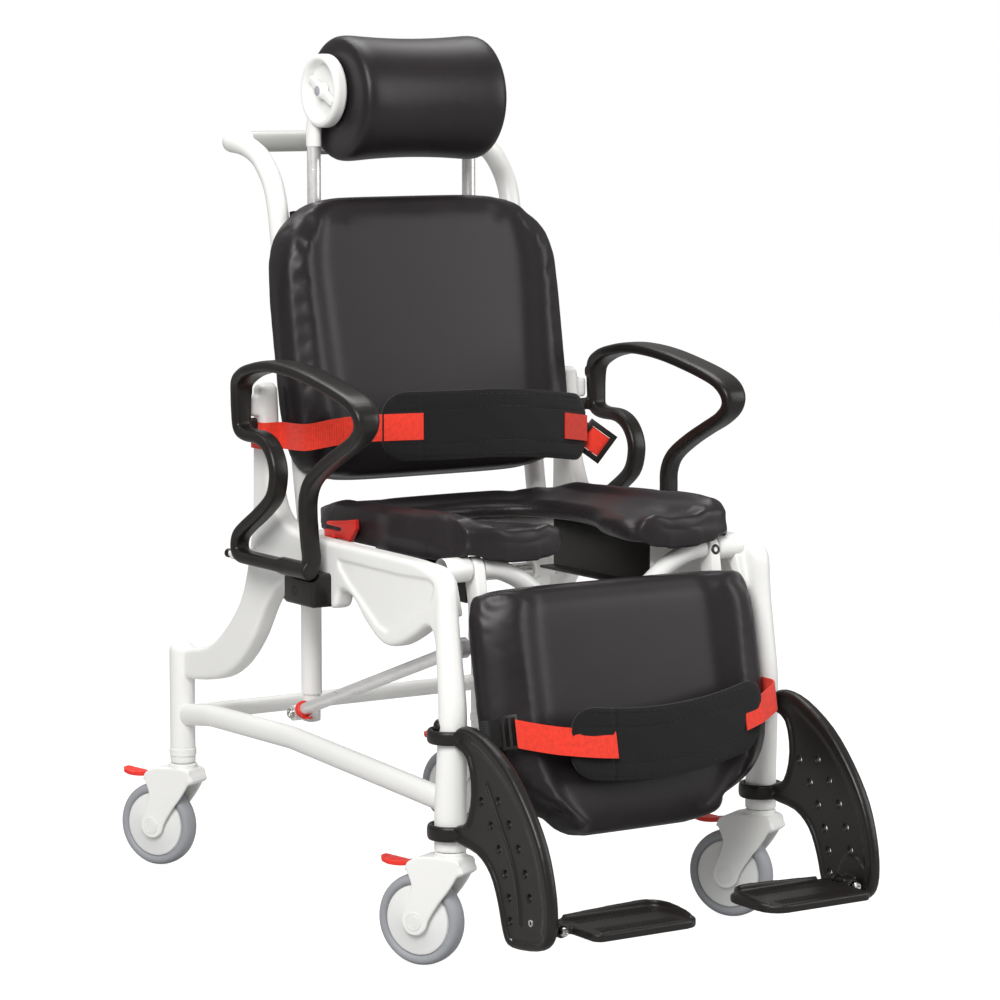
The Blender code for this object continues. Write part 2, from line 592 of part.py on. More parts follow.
def cushion(bm, place, nu, nv, thick, crown, half_u, half_v, corners=(0.28, 0.28), bolster=0.0, channel=0.0,
            tuck=0.004):
    """A cushion with a crowned face, side bolsters between channels and drawn-in edges."""
    def spot(u, v, out, inset=0.0):
        corner = corners[0] if v > 0 else corners[1]
        a = u * math.sqrt(1 - corner * v ** 6) * (half_u(v) - inset)
        b = v * math.sqrt(1 - corner * u ** 6) * (half_v - inset)
        return place(a, b, out)

    def face(u, v):
        edge = (1 - u ** 6) * (1 - v ** 8)
        out = thick - 0.012 + 0.012 * edge + crown * (1 - u * u) * (1 - v * v)
        side = abs(u)
        out += bolster * math.exp(-((side - 0.86) / 0.10) ** 2) * (1 - v ** 8)
        out -= channel * math.exp(-((side - 0.68) / 0.05) ** 2) * (1 - v ** 8)
        return out

    us = [-1 + 2 * i / nu for i in range(nu + 1)]
    vs = [-1 + 2 * j / nv for j in range(nv + 1)]
    front = [[bm.verts.new(spot(u, v, face(u, v), 0.004)) for u in us] for v in vs]
    rear = [[bm.verts.new(spot(u, v, 0.0, 0.006)) for u in us] for v in vs]
    loop = [(0, i) for i in range(nu)] + [(j, nu) for j in range(nv)]
    loop += [(nv, nu - i) for i in range(nu)] + [(nv - j, 0) for j in range(nv)]
    for grid in (front, rear):
        for j in range(nv):
            for i in range(nu):
                bm.faces.new((grid[j][i], grid[j][i + 1], grid[j + 1][i + 1], grid[j + 1][i]))
    last = [front[j][i] for j, i in loop]
    for part, inset in ((0.72, -0.001), (0.5, tuck), (0.25, -0.001)):
        now = []
        for j, i in loop:
            u, v = us[i], vs[j]
            now.append(bm.verts.new(spot(u, v, part * face(u, v), inset)))
        for k in range(len(loop)):
            m = (k + 1) % len(loop)
            bm.faces.new((last[k], last[m], now[m], now[k]))
        last = now
    base = [rear[j][i] for j, i in loop]
    for k in range(len(loop)):
        m = (k + 1) % len(loop)
        bm.faces.new((last[k], last[m], base[m], base[k]))
    return bm


PAD_LOW = 0.101
PAD_HIGH = 0.520
pad_mid = (PAD_LOW + PAD_HIGH) / 2
pad_half = (PAD_HIGH - PAD_LOW) / 2
pad_out = panel_out + GAP
make("back_pad", cushion(new(), lambda a, b, out: on_back(a, pad_mid + b, pad_out + out), 14, 10, PAD_T,
                         0.004,
                         lambda v: PAD_HALF - 0.006 * max(v, 0) ** 3, pad_half, (0.16, 0.16), 0.014, 0.007),
                         "foam_skin")

# Headrest: tubes, cup brackets, clamp knobs and the waisted roll
for label, s in SIDES:
    cup_z = HEAD_Z + 0.010
    stem_z = cup_z - CUP_R - 0.018
    make("headrest_tube_" + label, rod(new(), (s * HEAD_TUBE_X, HEAD_TUBE_Y, 0.890),
                                       (s * HEAD_TUBE_X, HEAD_TUBE_Y, stem_z + 0.012),
                                       HEAD_TUBE_R, 14), "steel")
    bore = KNOB_SPIGOT_R + TURN_CLEAR
    rim = [(bore, 0.003), (0.036, 0.0), (CUP_R - 0.004, 0.0), (CUP_R, 0.004), (CUP_R, CUP_T - 0.004),
           (CUP_R - 0.004, CUP_T), (bore, CUP_T)]
    cup = make("headrest_cup_" + label, sided(turn(new(), rim, (CUP_IN, HEAD_Y, cup_z), (1, 0, 0), 18,
                                                   closed=True), s), "white_coat")
    stem = [(HEAD_TUBE_X, HEAD_TUBE_Y, stem_z), (HEAD_TUBE_X, HEAD_TUBE_Y, stem_z + 0.026),
            (HEAD_TUBE_X, HEAD_Y + 0.022, cup_z - 0.040)]
    boolean(cup, sided(sweep(new(), fillet(stem, 0.03, 3), 0.0115, 0.0145, 12, normal=(1, 0, 0)), s))
    boolean(cup, sided(rod(new(), (HEAD_TUBE_X, HEAD_TUBE_Y, stem_z - 0.01),
                           (HEAD_TUBE_X, HEAD_TUBE_Y, stem_z + 0.012 + GAP),
                           HEAD_TUBE_R + GAP, 14), s), "DIFFERENCE")
    dish = [(DISH_R - 0.003, CUP_T - DISH_T), (DISH_R + 0.002, CUP_T + 0.004)]
    boolean(cup, sided(turn(new(), dish, (CUP_IN, HEAD_Y, cup_z), (1, 0, 0), 18), s), "DIFFERENCE")
    knob_in = CUP_IN + CUP_T - DISH_T + GAP
    grip = [(0.011, 0.0), (0.022, 0.002), (0.022, 0.006), (0.012, 0.010), (0.009, 0.013), (0.006, 0.014)]
    knob = make("headrest_knob_" + label, sided(turn(new(), grip, (knob_in, HEAD_Y, cup_z), (1, 0, 0),
                                                     12), s), "white_coat",
                (s * knob_in, HEAD_Y, cup_z))
    wing = box(new(), (knob_in + 0.004, HEAD_Y - 0.004, cup_z - 0.024),
               (knob_in + 0.012, HEAD_Y + 0.004, cup_z + 0.024))
    boolean(knob, sided(wing, s))
    boolean(knob, sided(rod(new(), (CUP_IN - 0.012, HEAD_Y, cup_z), (knob_in + 0.004, HEAD_Y, cup_z),
                            KNOB_SPIGOT_R, 12), s))

roll = []
END = CUP_IN - 0.002
for x, drop in ((-END, 0.0285), (-END + 0.003, 0.0095), (-END + 0.009, 0.0008), (-END + 0.022, 0.0),
                (-0.055, 0.0055), (0.0, 0.0095), (0.055, 0.0055), (END - 0.022, 0.0),
                (END - 0.009, 0.0008), (END - 0.003, 0.0095), (END, 0.0285)):
    roll.append((HEAD_R - drop, x))
roll_at = (0, HEAD_Y - ROLL_AHEAD, HEAD_Z - 0.001)
head = make("headrest_pad", turn(new(), roll, roll_at, (1, 0, 0), 24), "foam_skin",
            (0, HEAD_Y, HEAD_Z + 0.010))
for s in (-1, 1):
    well = rod(new(), (s * (END - 0.020), HEAD_Y, HEAD_Z + 0.010), (s * 0.2, HEAD_Y, HEAD_Z + 0.010),
               KNOB_SPIGOT_R + TURN_CLEAR, 12)
    boolean(head, well, "DIFFERENCE")

# Armrests: closed loops that hinge on the side frames' pins
ARM_LINE = [(0.2315, 0.711), (0.2312, 0.739), (0.220, 0.760), (0.188, 0.773), (0.137, 0.7815),
            (0.087, 0.7815), (0.037, 0.7765), (-0.011, 0.768), (-0.059, 0.7575), (-0.095, 0.747),
            (-0.114, 0.730), (-0.112, 0.713), (-0.091, 0.696), (-0.053, 0.678), (-0.012, 0.6575),
            (0.026, 0.633), (0.0415, 0.608), (0.0427, 0.578), (0.0435, 0.545), (0.0445, 0.521),
            (0.052, 0.507), (0.069, 0.5045), (0.110, 0.5045), (0.160, 0.5045), (0.205, 0.5045),
            (0.2285, 0.506), (0.239, 0.515), (0.235, 0.533), (0.2152, 0.548), (0.173, 0.572),
            (0.137, 0.5976), (0.1255, 0.6249), (0.128, 0.6473), (0.1437, 0.668), (0.170, 0.679),
            (0.206, 0.6815), (0.227, 0.690)]
ARM_THICK = [0.0100, 0.0100, 0.0105] + [0.0110] * 7 + [0.0105, 0.0100] + [0.0095] * 25
ARM_WIDE = [0.014, 0.015, 0.018, 0.021, 0.0225, 0.0225, 0.0225, 0.0225, 0.0225, 0.021, 0.019, 0.017,
            0.015] + [ARM_HALF] * 24
for label, s in SIDES:
    path = [(ARM_X, y + Y_MID, z) for y, z in ARM_LINE]
    arm = make("armrest_" + label, sided(sweep(new(), path, ARM_WIDE, ARM_THICK, 10, closed=True,
                                               normal=(1, 0, 0), power=0.75), s),
               "black_moulding", (s * ARM_X, 0, ARM_PIN_Z))
    for y0, y1 in ((ARM_FRONT_LUG[1] - 0.002, ARM_FRONT_LUG[1] + 0.0235),
                   (ARM_REAR_LUG[0] - 0.0155, ARM_REAR_LUG[0] + 0.002)):
        hole = rod(new(), (ARM_X, y0, ARM_PIN_Z), (ARM_X, y1, ARM_PIN_Z), ARM_PIN_R + TURN_CLEAR, 12)
        boolean(arm, sided(hole, s), "DIFFERENCE")

# Calf rest: hangers with a lobe for the link rods, and the pad
HANG = Vector((0, -0.204, -0.979)).normalized()
HANG_OUT = Vector((0, -0.979, 0.204)).normalized()
HANG_LEN = 0.315
for label, s in SIDES:
    top_p = Vector((0, AXLE_Y, AXLE_Z))
    width = 0.015
    outline = []
    for k in range(9):
        t = math.pi * k / 8
        p = top_p + HANG_OUT * (HANGER_EYE_R * math.cos(t)) - HANG * (HANGER_EYE_R * math.sin(t))
        outline.append((p.y, p.z))
    for d, o in ((0.045, -width), (0.075, -0.020), (0.103, -0.024), (0.131, -0.020), (0.165, -width),
                 (HANG_LEN, -0.012),
                 (HANG_LEN + 0.008, 0.0), (HANG_LEN, width), (0.045, width)):
        p = top_p + HANG * d + HANG_OUT * o
        outline.append((p.y, p.z))
    hang = make("calf_hanger_" + label, sided(slab(new(), outline, HANGER_IN, HANGER_IN + HANGER_T), s),
                "white_coat",
                (0, AXLE_Y, AXLE_Z))
    bore = rod(new(), (HANGER_IN - 0.03, AXLE_Y, AXLE_Z), (HANGER_IN + HANGER_T + 0.03, AXLE_Y, AXLE_Z),
               HANGER_PIN_R + TURN_CLEAR, 16)
    boolean(hang, sided(bore, s), "DIFFERENCE")
    boolean(hang, sided(rod(new(), (HANGER_IN + 0.004, LOBE_Y, LOBE_Z), (LINK_X + 0.0075, LOBE_Y, LOBE_Z),
                            LINK_PIN_R, 10), s))


def on_calf(x, down, out):
    p = Vector((0, AXLE_Y, AXLE_Z)) + HANG * down + HANG_OUT * (0.015 + GAP + out)
    return Vector((x, p.y, p.z))


CALF_TOP = 0.030
CALF_LOW = 0.374
CALF_OVER = 0.044
CALF_HALF = HANGER_IN + CALF_OVER
calf_mid = (CALF_TOP + CALF_LOW) / 2
make("calf_pad", cushion(new(), lambda a, b, out: on_calf(a, calf_mid - b, out), 12, 8, 0.044, 0.006,
                         lambda v: CALF_HALF - 0.055 * max(-v, 0) ** 3, (CALF_LOW - CALF_TOP) / 2,
                         (0.09, 0.26), 0.004, 0.003), "foam_skin",
     (0, AXLE_Y, AXLE_Z))

# Link rods from the levers to the calf rest
A = Vector((LINK_X, BACK_Y, LEVER_Z))
B = Vector((LINK_X, LOBE_Y, LOBE_Z))
along = (B - A).normalized()
for label, s in SIDES:
    link = make("link_rod_" + label, sided(rod(new(), A + along * 0.006, B - along * 0.010, LINK_R, 12),
                                           s), "steel",
                (0, BACK_Y, LEVER_Z))
    for p, bore in ((A, LINK_PIN_R + TURN_CLEAR), (B, LINK_PIN_R + LINK_PLAY)):
        eye = rod(new(), p - Vector((0.008, 0, 0)), p + Vector((0.007, 0, 0)), bore + 0.0055, 14)
        boolean(link, sided(eye, s))
        hole = rod(new(), p - Vector((0.02, 0, 0)), p + Vector((0.02, 0, 0)), bore, 12)
        boolean(link, sided(hole, s), "DIFFERENCE")

# Gas spring under the seat
end = Vector((SPRING_X, SPRING_PIN.y, SPRING_PIN.z))
head_p = Vector((SPRING_X, -0.120 + Y_MID, SPRING_PIN.z))
cyl = [(ROD_R + GAP, 0.030), (ROD_R + GAP, 0.215), (SPRING_R - 0.002, 0.215), (SPRING_R, 0.212),
       (SPRING_R, 0.0), (0.004, 0.0),
       (0.004, 0.030)]
spring = make("gas_spring_cylinder", turn(new(), cyl, head_p, (0, 1, 0), 12, closed=True), "black_moulding")
boolean(spring, rod(new(), head_p + Vector((0.006, 0.008, 0)), Vector((-PLATE_IN + GAP, head_p.y + 0.008,
                                                                       head_p.z)), 0.0065, 10))
piston = make("gas_spring_rod", rod(new(), (SPRING_X, head_p.y + 0.045, end.z),
                                    (SPRING_X, end.y - 0.008, end.z), ROD_R, 12), "steel",
              end)
boolean(piston, rod(new(), end - Vector((0.006, 0, 0)), end + Vector((0.006, 0, 0)), 0.0115, 16))
boolean(piston, rod(new(), end - Vector((0.02, 0, 0)), end + Vector((0.02, 0, 0)), 0.005 + SPRING_PLAY,
                    12), "DIFFERENCE")

# Foot brackets: rings on the front legs and a curved plate with two rows of holes
FOOT_OUTLINE = [(-0.276, 0.326), (-0.300, 0.336), (-0.345, 0.328), (-0.402, 0.298), (-0.448, 0.255),
                (-0.482, 0.208),
                (-0.500, 0.160), (-0.506, 0.118), (-0.500, 0.088), (-0.480, 0.072), (-0.440, 0.064),
                (-0.406, 0.064),
                (-0.392, 0.082), (-0.380, 0.118), (-0.362, 0.150), (-0.330, 0.170), (-0.276, 0.178),
                (-0.276, 0.198),
                (-0.303, 0.210), (-0.316, 0.250), (-0.306, 0.292), (-0.276, 0.306)]
FOOT_ROWS = [((-0.379, 0.250), (-0.405, 0.224), (-0.427, 0.196), (-0.443, 0.166), (-0.453, 0.136)),
             ((-0.338, 0.243), (-0.362, 0.215), (-0.381, 0.187), (-0.396, 0.157), (-0.405, 0.127),
              (-0.408, 0.097))]
RINGS = ((0.306, 0.326), (0.176, 0.198))
for label, s in SIDES:
    place = make("foot_bracket_" + label, sided(slab(new(), shifted(FOOT_OUTLINE), FOOT_X - FOOT_T / 2,
                                                     FOOT_X + FOOT_T / 2), s),
                 "black_moulding", (s * LEG_X, LEG_Y, 0.25))
    for z0, z1 in RINGS:
        hoop = ring_of(new(), (LEG_X, LEG_Y, z0), (LEG_X, LEG_Y, z1), LEG_R + 0.0085, LEG_R + TURN_CLEAR,
                       18)
        boolean(place, sided(hoop, s))
    for row in FOOT_ROWS:
        for y, z in row:
            hole = rod(new(), (FOOT_X - 0.03, y + Y_MID, z), (FOOT_X + 0.03, y + Y_MID, z), 0.0052, 8)
            boolean(place, sided(hole, s), "DIFFERENCE")
    pin_y = (-0.492 + Y_MID, -0.428 + Y_MID)
    lug = box(new(), (FOOT_PIN_X - 0.0065, -0.474 + Y_MID, FOOT_PIN_Z - 0.012),
              (FOOT_X, -0.452 + Y_MID, FOOT_PIN_Z + 0.0075))
    boolean(place, sided(lug, s))
    boolean(place, sided(rod(new(), (FOOT_PIN_X, pin_y[0], FOOT_PIN_Z),
                             (FOOT_PIN_X, pin_y[1], FOOT_PIN_Z), FOOT_PIN_R, 10), s))

# Footplates: a tray with a raised heel rim that flips up on the bracket's pin
TRAY = [(0.182, 0.005), (0.184, 0.0), (0.182, -0.005), (0.018, -0.008), (0.014, -0.004), (0.014, 0.005)]
for label, s in SIDES:
    ends = [[(FOOT_PIN_X - x, y + Y_MID, FOOT_PIN_Z + z) for x, z in TRAY] for y in (-0.546, -0.440)]
    bm = loft(new(), ends)
    tray = make("footplate_" + label, sided(bm, s), "black_moulding", (s * FOOT_PIN_X, 0, FOOT_PIN_Z))
    soften(tray, 0.003, 1, 60)
    rim = box(new(), (FOOT_PIN_X - 0.178, -0.4465 + Y_MID, FOOT_PIN_Z - 0.002),
              (FOOT_PIN_X - 0.018, -0.4405 + Y_MID, FOOT_PIN_Z + 0.0145))
    boolean(tray, sided(rim, s))
    for y0, y1 in ((-0.489, -0.4745), (-0.4515, -0.440)):
        knuckle = rod(new(), (FOOT_PIN_X, y0 + Y_MID, FOOT_PIN_Z), (FOOT_PIN_X, y1 + Y_MID, FOOT_PIN_Z),
                      0.0095, 14)
        boolean(tray, sided(knuckle, s))
        neck = box(new(), (FOOT_PIN_X - 0.020, y0 + Y_MID, FOOT_PIN_Z - 0.005),
                   (FOOT_PIN_X, y1 + Y_MID, FOOT_PIN_Z + 0.005))
        boolean(tray, sided(neck, s))
    hole = rod(new(), (FOOT_PIN_X, -0.56 + Y_MID, FOOT_PIN_Z), (FOOT_PIN_X, -0.42 + Y_MID, FOOT_PIN_Z),
               FOOT_PIN_R + TURN_CLEAR, 12)
    boolean(tray, sided(hole, s), "DIFFERENCE")


def band(bm, path, tall, thick):
    """A strap of flat section along a level path, its width upright."""
    pts = [Vector(p) for p in path]
    rings = []
    for i, p in enumerate(pts):
        tangent = (pts[min(i + 1, len(pts) - 1)] - pts[max(i - 1, 0)]).normalized()
        across = Vector((tangent.y, -tangent.x, 0)).normalized()
        up = Vector((0, 0, 1))
        rings.append([p + across * a * thick / 2 + up * b * tall / 2 for a,
                      b in ((-1, -1), (1, -1), (1, 1), (-1, 1))])
    return loft(bm, rings)


# Lap belt between the armrest posts
STRAP_TALL = 0.038
STRAP_TURN = PLATE_IN - 0.0105
BELT_PAD_END = PLATE_IN - 0.090
BELT_EDGE = PLATE_IN - 0.038
BELT_Z = 0.6925
BELT_TALL = 0.096
STRAP_T = 0.0022
BELT_END = PLATE_IN - GAP - STRAP_T / 2


def belt_point(x):
    t = abs(x) / BELT_END
    y = 0.062 + 0.090 * t ** 2 + 0.090 * t ** 12
    drop = 0.0175 if x < 0 else 0.007
    return Vector((x, y + Y_MID, BELT_Z - drop * t ** 6))


def belt_run(x0, x1, steps):
    return [belt_point(x0 + (x1 - x0) * i / steps) for i in range(steps + 1)]


make("lap_belt_pad", band(new(), belt_run(-BELT_PAD_END, BELT_EDGE, 18), BELT_TALL, 0.009), "belt_fabric")
web = belt_run(-BELT_END, -BELT_PAD_END - GAP, 8)
make("lap_strap_right", band(new(), web, STRAP_TALL, STRAP_T), "red_web")
make("lap_strap_left", band(new(), belt_run(BELT_EDGE + GAP, STRAP_TURN, 4), STRAP_TALL, STRAP_T), "red_web")
buckle_p = belt_point(STRAP_TURN)
low = (STRAP_TURN + STRAP_T / 2 + GAP, buckle_p.y - 0.022, buckle_p.z - 0.022)
high = (PLATE_IN - GAP, 0.246 + Y_MID, buckle_p.z + 0.022)
make("lap_buckle", box(new(), low, high), "black_moulding")

# Calf strap across the calf pad
CLIP_X = CALF_HALF - 0.024
STRAP_EDGE = CALF_HALF - 0.042
STRAP_PAD_END = CALF_HALF - 0.099


def strap_down(x):
    return 0.2575 - 0.030 * (x / (CALF_HALF + 0.006)) ** 2


def strap_point(x):
    t = x / (CALF_HALF + 0.006)
    return on_calf(x, strap_down(x), 0.058 + 0.026 * (1 - t ** 2))


def strap_run(x0, x1, steps):
    return [strap_point(x0 + (x1 - x0) * i / steps) for i in range(steps + 1)]


origin = (0, AXLE_Y, AXLE_Z)
cloth = strap_run(-STRAP_PAD_END, STRAP_EDGE, 16)
make("calf_strap_pad", band(new(), cloth, BELT_TALL, 0.009), "belt_fabric", origin)
web = strap_run(-CLIP_X, -STRAP_PAD_END - GAP, 6)
make("calf_strap_right", band(new(), web, STRAP_TALL, STRAP_T), "red_web", origin)
side_down = strap_down(STRAP_EDGE)
edge_x = CALF_HALF + 0.001 + GAP + STRAP_T / 2
edge_line = [strap_point(STRAP_EDGE + GAP), on_calf(CALF_HALF - 0.008, side_down, 0.0600),
             on_calf(edge_x - 0.001, side_down, 0.0540),
             on_calf(edge_x + 0.001, side_down, 0.0440), on_calf(edge_x, side_down, 0.0320),
             on_calf(edge_x, side_down, 0.0200)]
make("calf_strap_left", band(new(), edge_line, STRAP_TALL, STRAP_T), "red_web", origin)
clip = strap_point(-CLIP_X)
low = (-CALF_HALF - 0.0085, clip.y - 0.006, clip.z - 0.022)
high = (-CLIP_X - GAP, clip.y + 0.008, clip.z + 0.022)
make("calf_buckle", box(new(), low, high), "black_moulding", origin)
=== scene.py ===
# %% [markdown]
# # Dressing a tilt shower commode chair
#
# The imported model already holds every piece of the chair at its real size, on its real joints.
# This lesson puts the surfaces on it: powder-coated castings and tubes, moulded foam pads,
# black plastic, red webbing and grey tyres. Each new piece rides on the body that carries it,
# so the chair still tilts, folds and rolls.

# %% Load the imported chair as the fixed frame
import math

import bmesh
import bpy
from mathutils import Matrix, Vector


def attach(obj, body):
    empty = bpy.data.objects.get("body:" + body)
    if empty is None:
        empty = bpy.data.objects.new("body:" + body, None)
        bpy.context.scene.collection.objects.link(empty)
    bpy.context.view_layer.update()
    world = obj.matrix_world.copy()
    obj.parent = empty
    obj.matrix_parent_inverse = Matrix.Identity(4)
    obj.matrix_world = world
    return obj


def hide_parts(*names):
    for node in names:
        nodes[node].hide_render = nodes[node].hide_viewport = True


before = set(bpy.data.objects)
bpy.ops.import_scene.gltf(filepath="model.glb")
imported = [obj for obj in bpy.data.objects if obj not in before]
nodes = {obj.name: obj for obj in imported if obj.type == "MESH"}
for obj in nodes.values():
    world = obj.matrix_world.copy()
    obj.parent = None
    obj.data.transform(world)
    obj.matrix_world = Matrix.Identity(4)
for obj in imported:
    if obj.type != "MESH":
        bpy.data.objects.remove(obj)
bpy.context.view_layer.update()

scene = bpy.context.scene

# %% [markdown]
# ## Camera, light and floor
#
# The camera stands where the photograph was taken, in front of the chair and to the sitter's
# right, a little above seat height, with a long lens. Three large soft lamps and a pale world light
# the chair evenly. The white surround is only what the camera sees: the world and the floor show
# white to camera and see-through rays, while the light on the chair stays at a plain level.

# %% Camera
camera_data = bpy.data.cameras.new("camera")
camera_data.sensor_width = 36.0
camera_data.lens = 130.96
camera_data.clip_end = 60.0
camera = bpy.data.objects.new("camera", camera_data)
camera.location = (-2.7864, -4.3007, 1.2055)
camera.rotation_euler = (math.radians(90 - 6.891), 0.0, math.radians(-32.904))
scene.collection.objects.link(camera)
scene.camera = camera
scene.view_settings.view_transform = "Standard"


# %% Lamps
def softbox(name, place, target, width, height, power):
    """A rectangular lamp that faces a point on the chair."""
    lamp = bpy.data.lights.new(name, "AREA")
    lamp.shape = "RECTANGLE"
    lamp.size = width
    lamp.size_y = height
    lamp.energy = power
    holder = bpy.data.objects.new(name, lamp)
    holder.location = place
    holder.rotation_euler = (Vector(target) - Vector(place)).to_track_quat("-Z", "Y").to_euler()
    scene.collection.objects.link(holder)


softbox("key_softbox", (-2.6, -2.2, 3.0), (0, 0, 0.6), 2.0, 2.0, 165)
softbox("fill_softbox", (3.0, -2.6, 1.9), (0, 0, 0.6), 2.2, 2.6, 66)
softbox("top_softbox", (0.2, 1.2, 3.4), (0, 0.1, 0.7), 2.6, 1.8, 75)
print("lamps:", len(bpy.data.lights))

# %% World and floor
PURE_WHITE = (1, 1, 1, 1)
AMBIENT_TINT, AMBIENT_POWER = (1.0, 0.99, 0.975, 1), 0.33
PAPER_GREY, PAPER_GLOW, PAPER_SHARE = (0.45, 0.45, 0.45, 1), 1.88, 0.5


def add(tree, kind, values=None, feeds=None, **settings):
    """A new shader node with its settings, its input values and the sockets that feed it."""
    made = tree.nodes.new(kind)
    for key, value in settings.items():
        setattr(made, key, value)
    for key, value in (values or {}).items():
        made.inputs[key].default_value = value
    for key, socket in (feeds or {}).items():
        tree.links.new(socket, made.inputs[key])
    return made


def seen_rays(tree):
    """1 where a camera or see-through ray meets the surround."""
    path = add(tree, "ShaderNodeLightPath")
    rays = {0: path.outputs["Is Camera Ray"], 1: path.outputs["Is Transmission Ray"]}
    return add(tree, "ShaderNodeMath", feeds=rays, operation="MAXIMUM").outputs[0]


def mixed(tree, share, first, second):
    """Two shaders blended by a share from 0 to 1."""
    return add(tree, "ShaderNodeMixShader", feeds={"Fac": share, 1: first.outputs[0], 2: second.outputs[0]})


world = bpy.data.worlds.new("studio")
scene.world = world
world.use_nodes = True
sky = world.node_tree
sky.nodes.clear()
shown = add(sky, "ShaderNodeBackground", {"Color": PURE_WHITE, "Strength": 1.0})
ambient = add(sky, "ShaderNodeBackground", {"Color": AMBIENT_TINT, "Strength": AMBIENT_POWER})
surround = mixed(sky, seen_rays(sky), ambient, shown)
add(sky, "ShaderNodeOutputWorld", feeds={"Surface": surround.outputs[0]})

floor_bm = bmesh.new()
bmesh.ops.create_grid(floor_bm, x_segments=2, y_segments=2, size=14.0)
floor_mesh = bpy.data.meshes.new("floor")
floor_bm.to_mesh(floor_mesh)
floor_bm.free()
floor = bpy.data.objects.new("floor", floor_mesh)
floor.location.z = -0.0005
scene.collection.objects.link(floor)
paper = bpy.data.materials.new("studio_paper")
paper.use_nodes = True
sheet = paper.node_tree
sheet.nodes.clear()
dull = add(sheet, "ShaderNodeBsdfDiffuse", {"Color": PAPER_GREY})
glow = add(sheet, "ShaderNodeEmission", {"Color": PURE_WHITE, "Strength": PAPER_GLOW})
share = add(sheet, "ShaderNodeMath", {1: PAPER_SHARE}, {0: seen_rays(sheet)}, operation="MULTIPLY")
surface = mixed(sheet, share.outputs[0], dull, glow)
add(sheet, "ShaderNodeOutputMaterial", feeds={"Surface": surface.outputs[0]})
floor_mesh.materials.append(paper)
print("floor and world ready")

# %% [markdown]
# ## Finishes
#
# Real surfaces are never one flat colour. Each finish here starts from its colour, then noise on
# Object coordinates shifts the colour a little, varies the roughness, and drives a bump at the
# scale of the real texture: orange peel in powder coat, fine pores in the foam's skin, spark
# texture in the plastic, brushing along the metal. Woven finishes read the piece's UV map, which
# is in metres along and across the strap, so the threads follow the webbing.


# %% One recipe for coats, skins, plastics and metals
def new_finish(name):
    """A material with its node tree and its main shader."""
    mat = bpy.data.materials.new(name)
    mat.use_nodes = True
    return mat, mat.node_tree, mat.node_tree.nodes["Principled BSDF"]


def tinted(tree, source, colour, *stops):
    """A colour that goes from darker to lighter with a grey value. A stop is (position, factor)."""
    tint = add(tree, "ShaderNodeValToRGB", feeds={"Fac": source})
    for element, (position, factor) in zip(tint.color_ramp.elements, stops):
        element.position = position
        element.color = (*[min(1, c * factor) for c in colour], 1)
    return tint.outputs["Color"]


def bumped(tree, height, depth):
    """A bump of a depth in metres."""
    return add(tree, "ShaderNodeBump", {"Distance": depth}, {"Height": height}).outputs["Normal"]


def finish(name, colour, rough, metal=0.0, mottle=0.05, patch=9.0, grain=700.0, depth=0.00004, spread=0.06,
           stretch=(1.0, 1.0, 1.0), pores=0.0):
    """A shader with mottled colour, uneven roughness and a fine bump, all in Object space."""
    mat, tree, shader = new_finish(name)
    shader.inputs["Metallic"].default_value = metal
    coords = add(tree, "ShaderNodeTexCoord")
    place = add(tree, "ShaderNodeMapping", {"Scale": stretch}, {"Vector": coords.outputs["Object"]})
    here = {"Vector": place.outputs["Vector"]}
    cloud = add(tree, "ShaderNodeTexNoise", {"Scale": patch, "Detail": 4.0}, here).outputs["Fac"]
    height = add(tree, "ShaderNodeTexNoise", {"Scale": grain, "Detail": 3.0}, here).outputs["Fac"]
    gloss = add(tree, "ShaderNodeMapRange", {"To Min": rough - spread, "To Max": rough + spread},
                {"Value": cloud})
    if pores:
        cell = add(tree, "ShaderNodeTexVoronoi", {"Scale": pores}, here, feature="DISTANCE_TO_EDGE")
        both = add(tree, "ShaderNodeMath", feeds={0: cell.outputs["Distance"], 1: height}, operation="ADD")
        height = both.outputs[0]
    for key, socket in (("Base Color", tinted(tree, cloud, colour, (0.3, 1 - mottle), (0.7, 1 + mottle))),
                        ("Roughness", gloss.outputs["Result"]),
                        ("Normal", bumped(tree, height, depth))):
        tree.links.new(socket, shader.inputs[key])
    return mat


WHITE = finish("white_powder_coat", (0.84, 0.838, 0.818), 0.36, grain=900, depth=0.00003, mottle=0.015)
CORE = finish("white_wheel_plastic", (0.79, 0.79, 0.775), 0.42, grain=1400, depth=0.00002, mottle=0.02)
SKIN = finish("charcoal_foam_skin", (0.0158, 0.0127, 0.0147), 0.39, mottle=0.14, patch=16, grain=800,
              depth=0.00007, spread=0.05, pores=620)
BLACK = finish("black_moulded_plastic", (0.013, 0.0112, 0.01), 0.34, mottle=0.12, grain=1500, depth=0.00004)
RED = finish("red_moulded_plastic", (0.78, 0.03, 0.018), 0.33, mottle=0.08, grain=1300, depth=0.00003)
# Painted shade: a grey copy of the white coat for the push bar's crossbar, which is white lying in shade.
PAINTED_SHADE_GREY = finish("painted_shade_grey_coat", (0.43, 0.43, 0.41), 0.4, grain=900, depth=0.00003, mottle=0.03,
                stretch=(0.2, 1.0, 1.0))
ALUMINIUM = finish("brushed_aluminium", (0.84, 0.83, 0.82), 0.3, 0.6, mottle=0.06, patch=24, grain=90,
                   depth=0.00002, stretch=(6.0, 1.0, 6.0))
STEEL = finish("bright_steel", (0.6, 0.59, 0.57), 0.22, 1.0, mottle=0.08, patch=60, grain=700,
               depth=0.00002)
TYRE = finish("grey_tyre", (0.315, 0.325, 0.345), 0.55, mottle=0.05, grain=1100, depth=0.00004)
GREY = finish("grey_cap_plastic", (0.36, 0.37, 0.4), 0.45, mottle=0.05, grain=1100, depth=0.00003)
for mat, shine in ((SKIN, 0.31), (BLACK, 0.32)):
    mat.node_tree.nodes["Principled BSDF"].inputs["Specular IOR Level"].default_value = shine
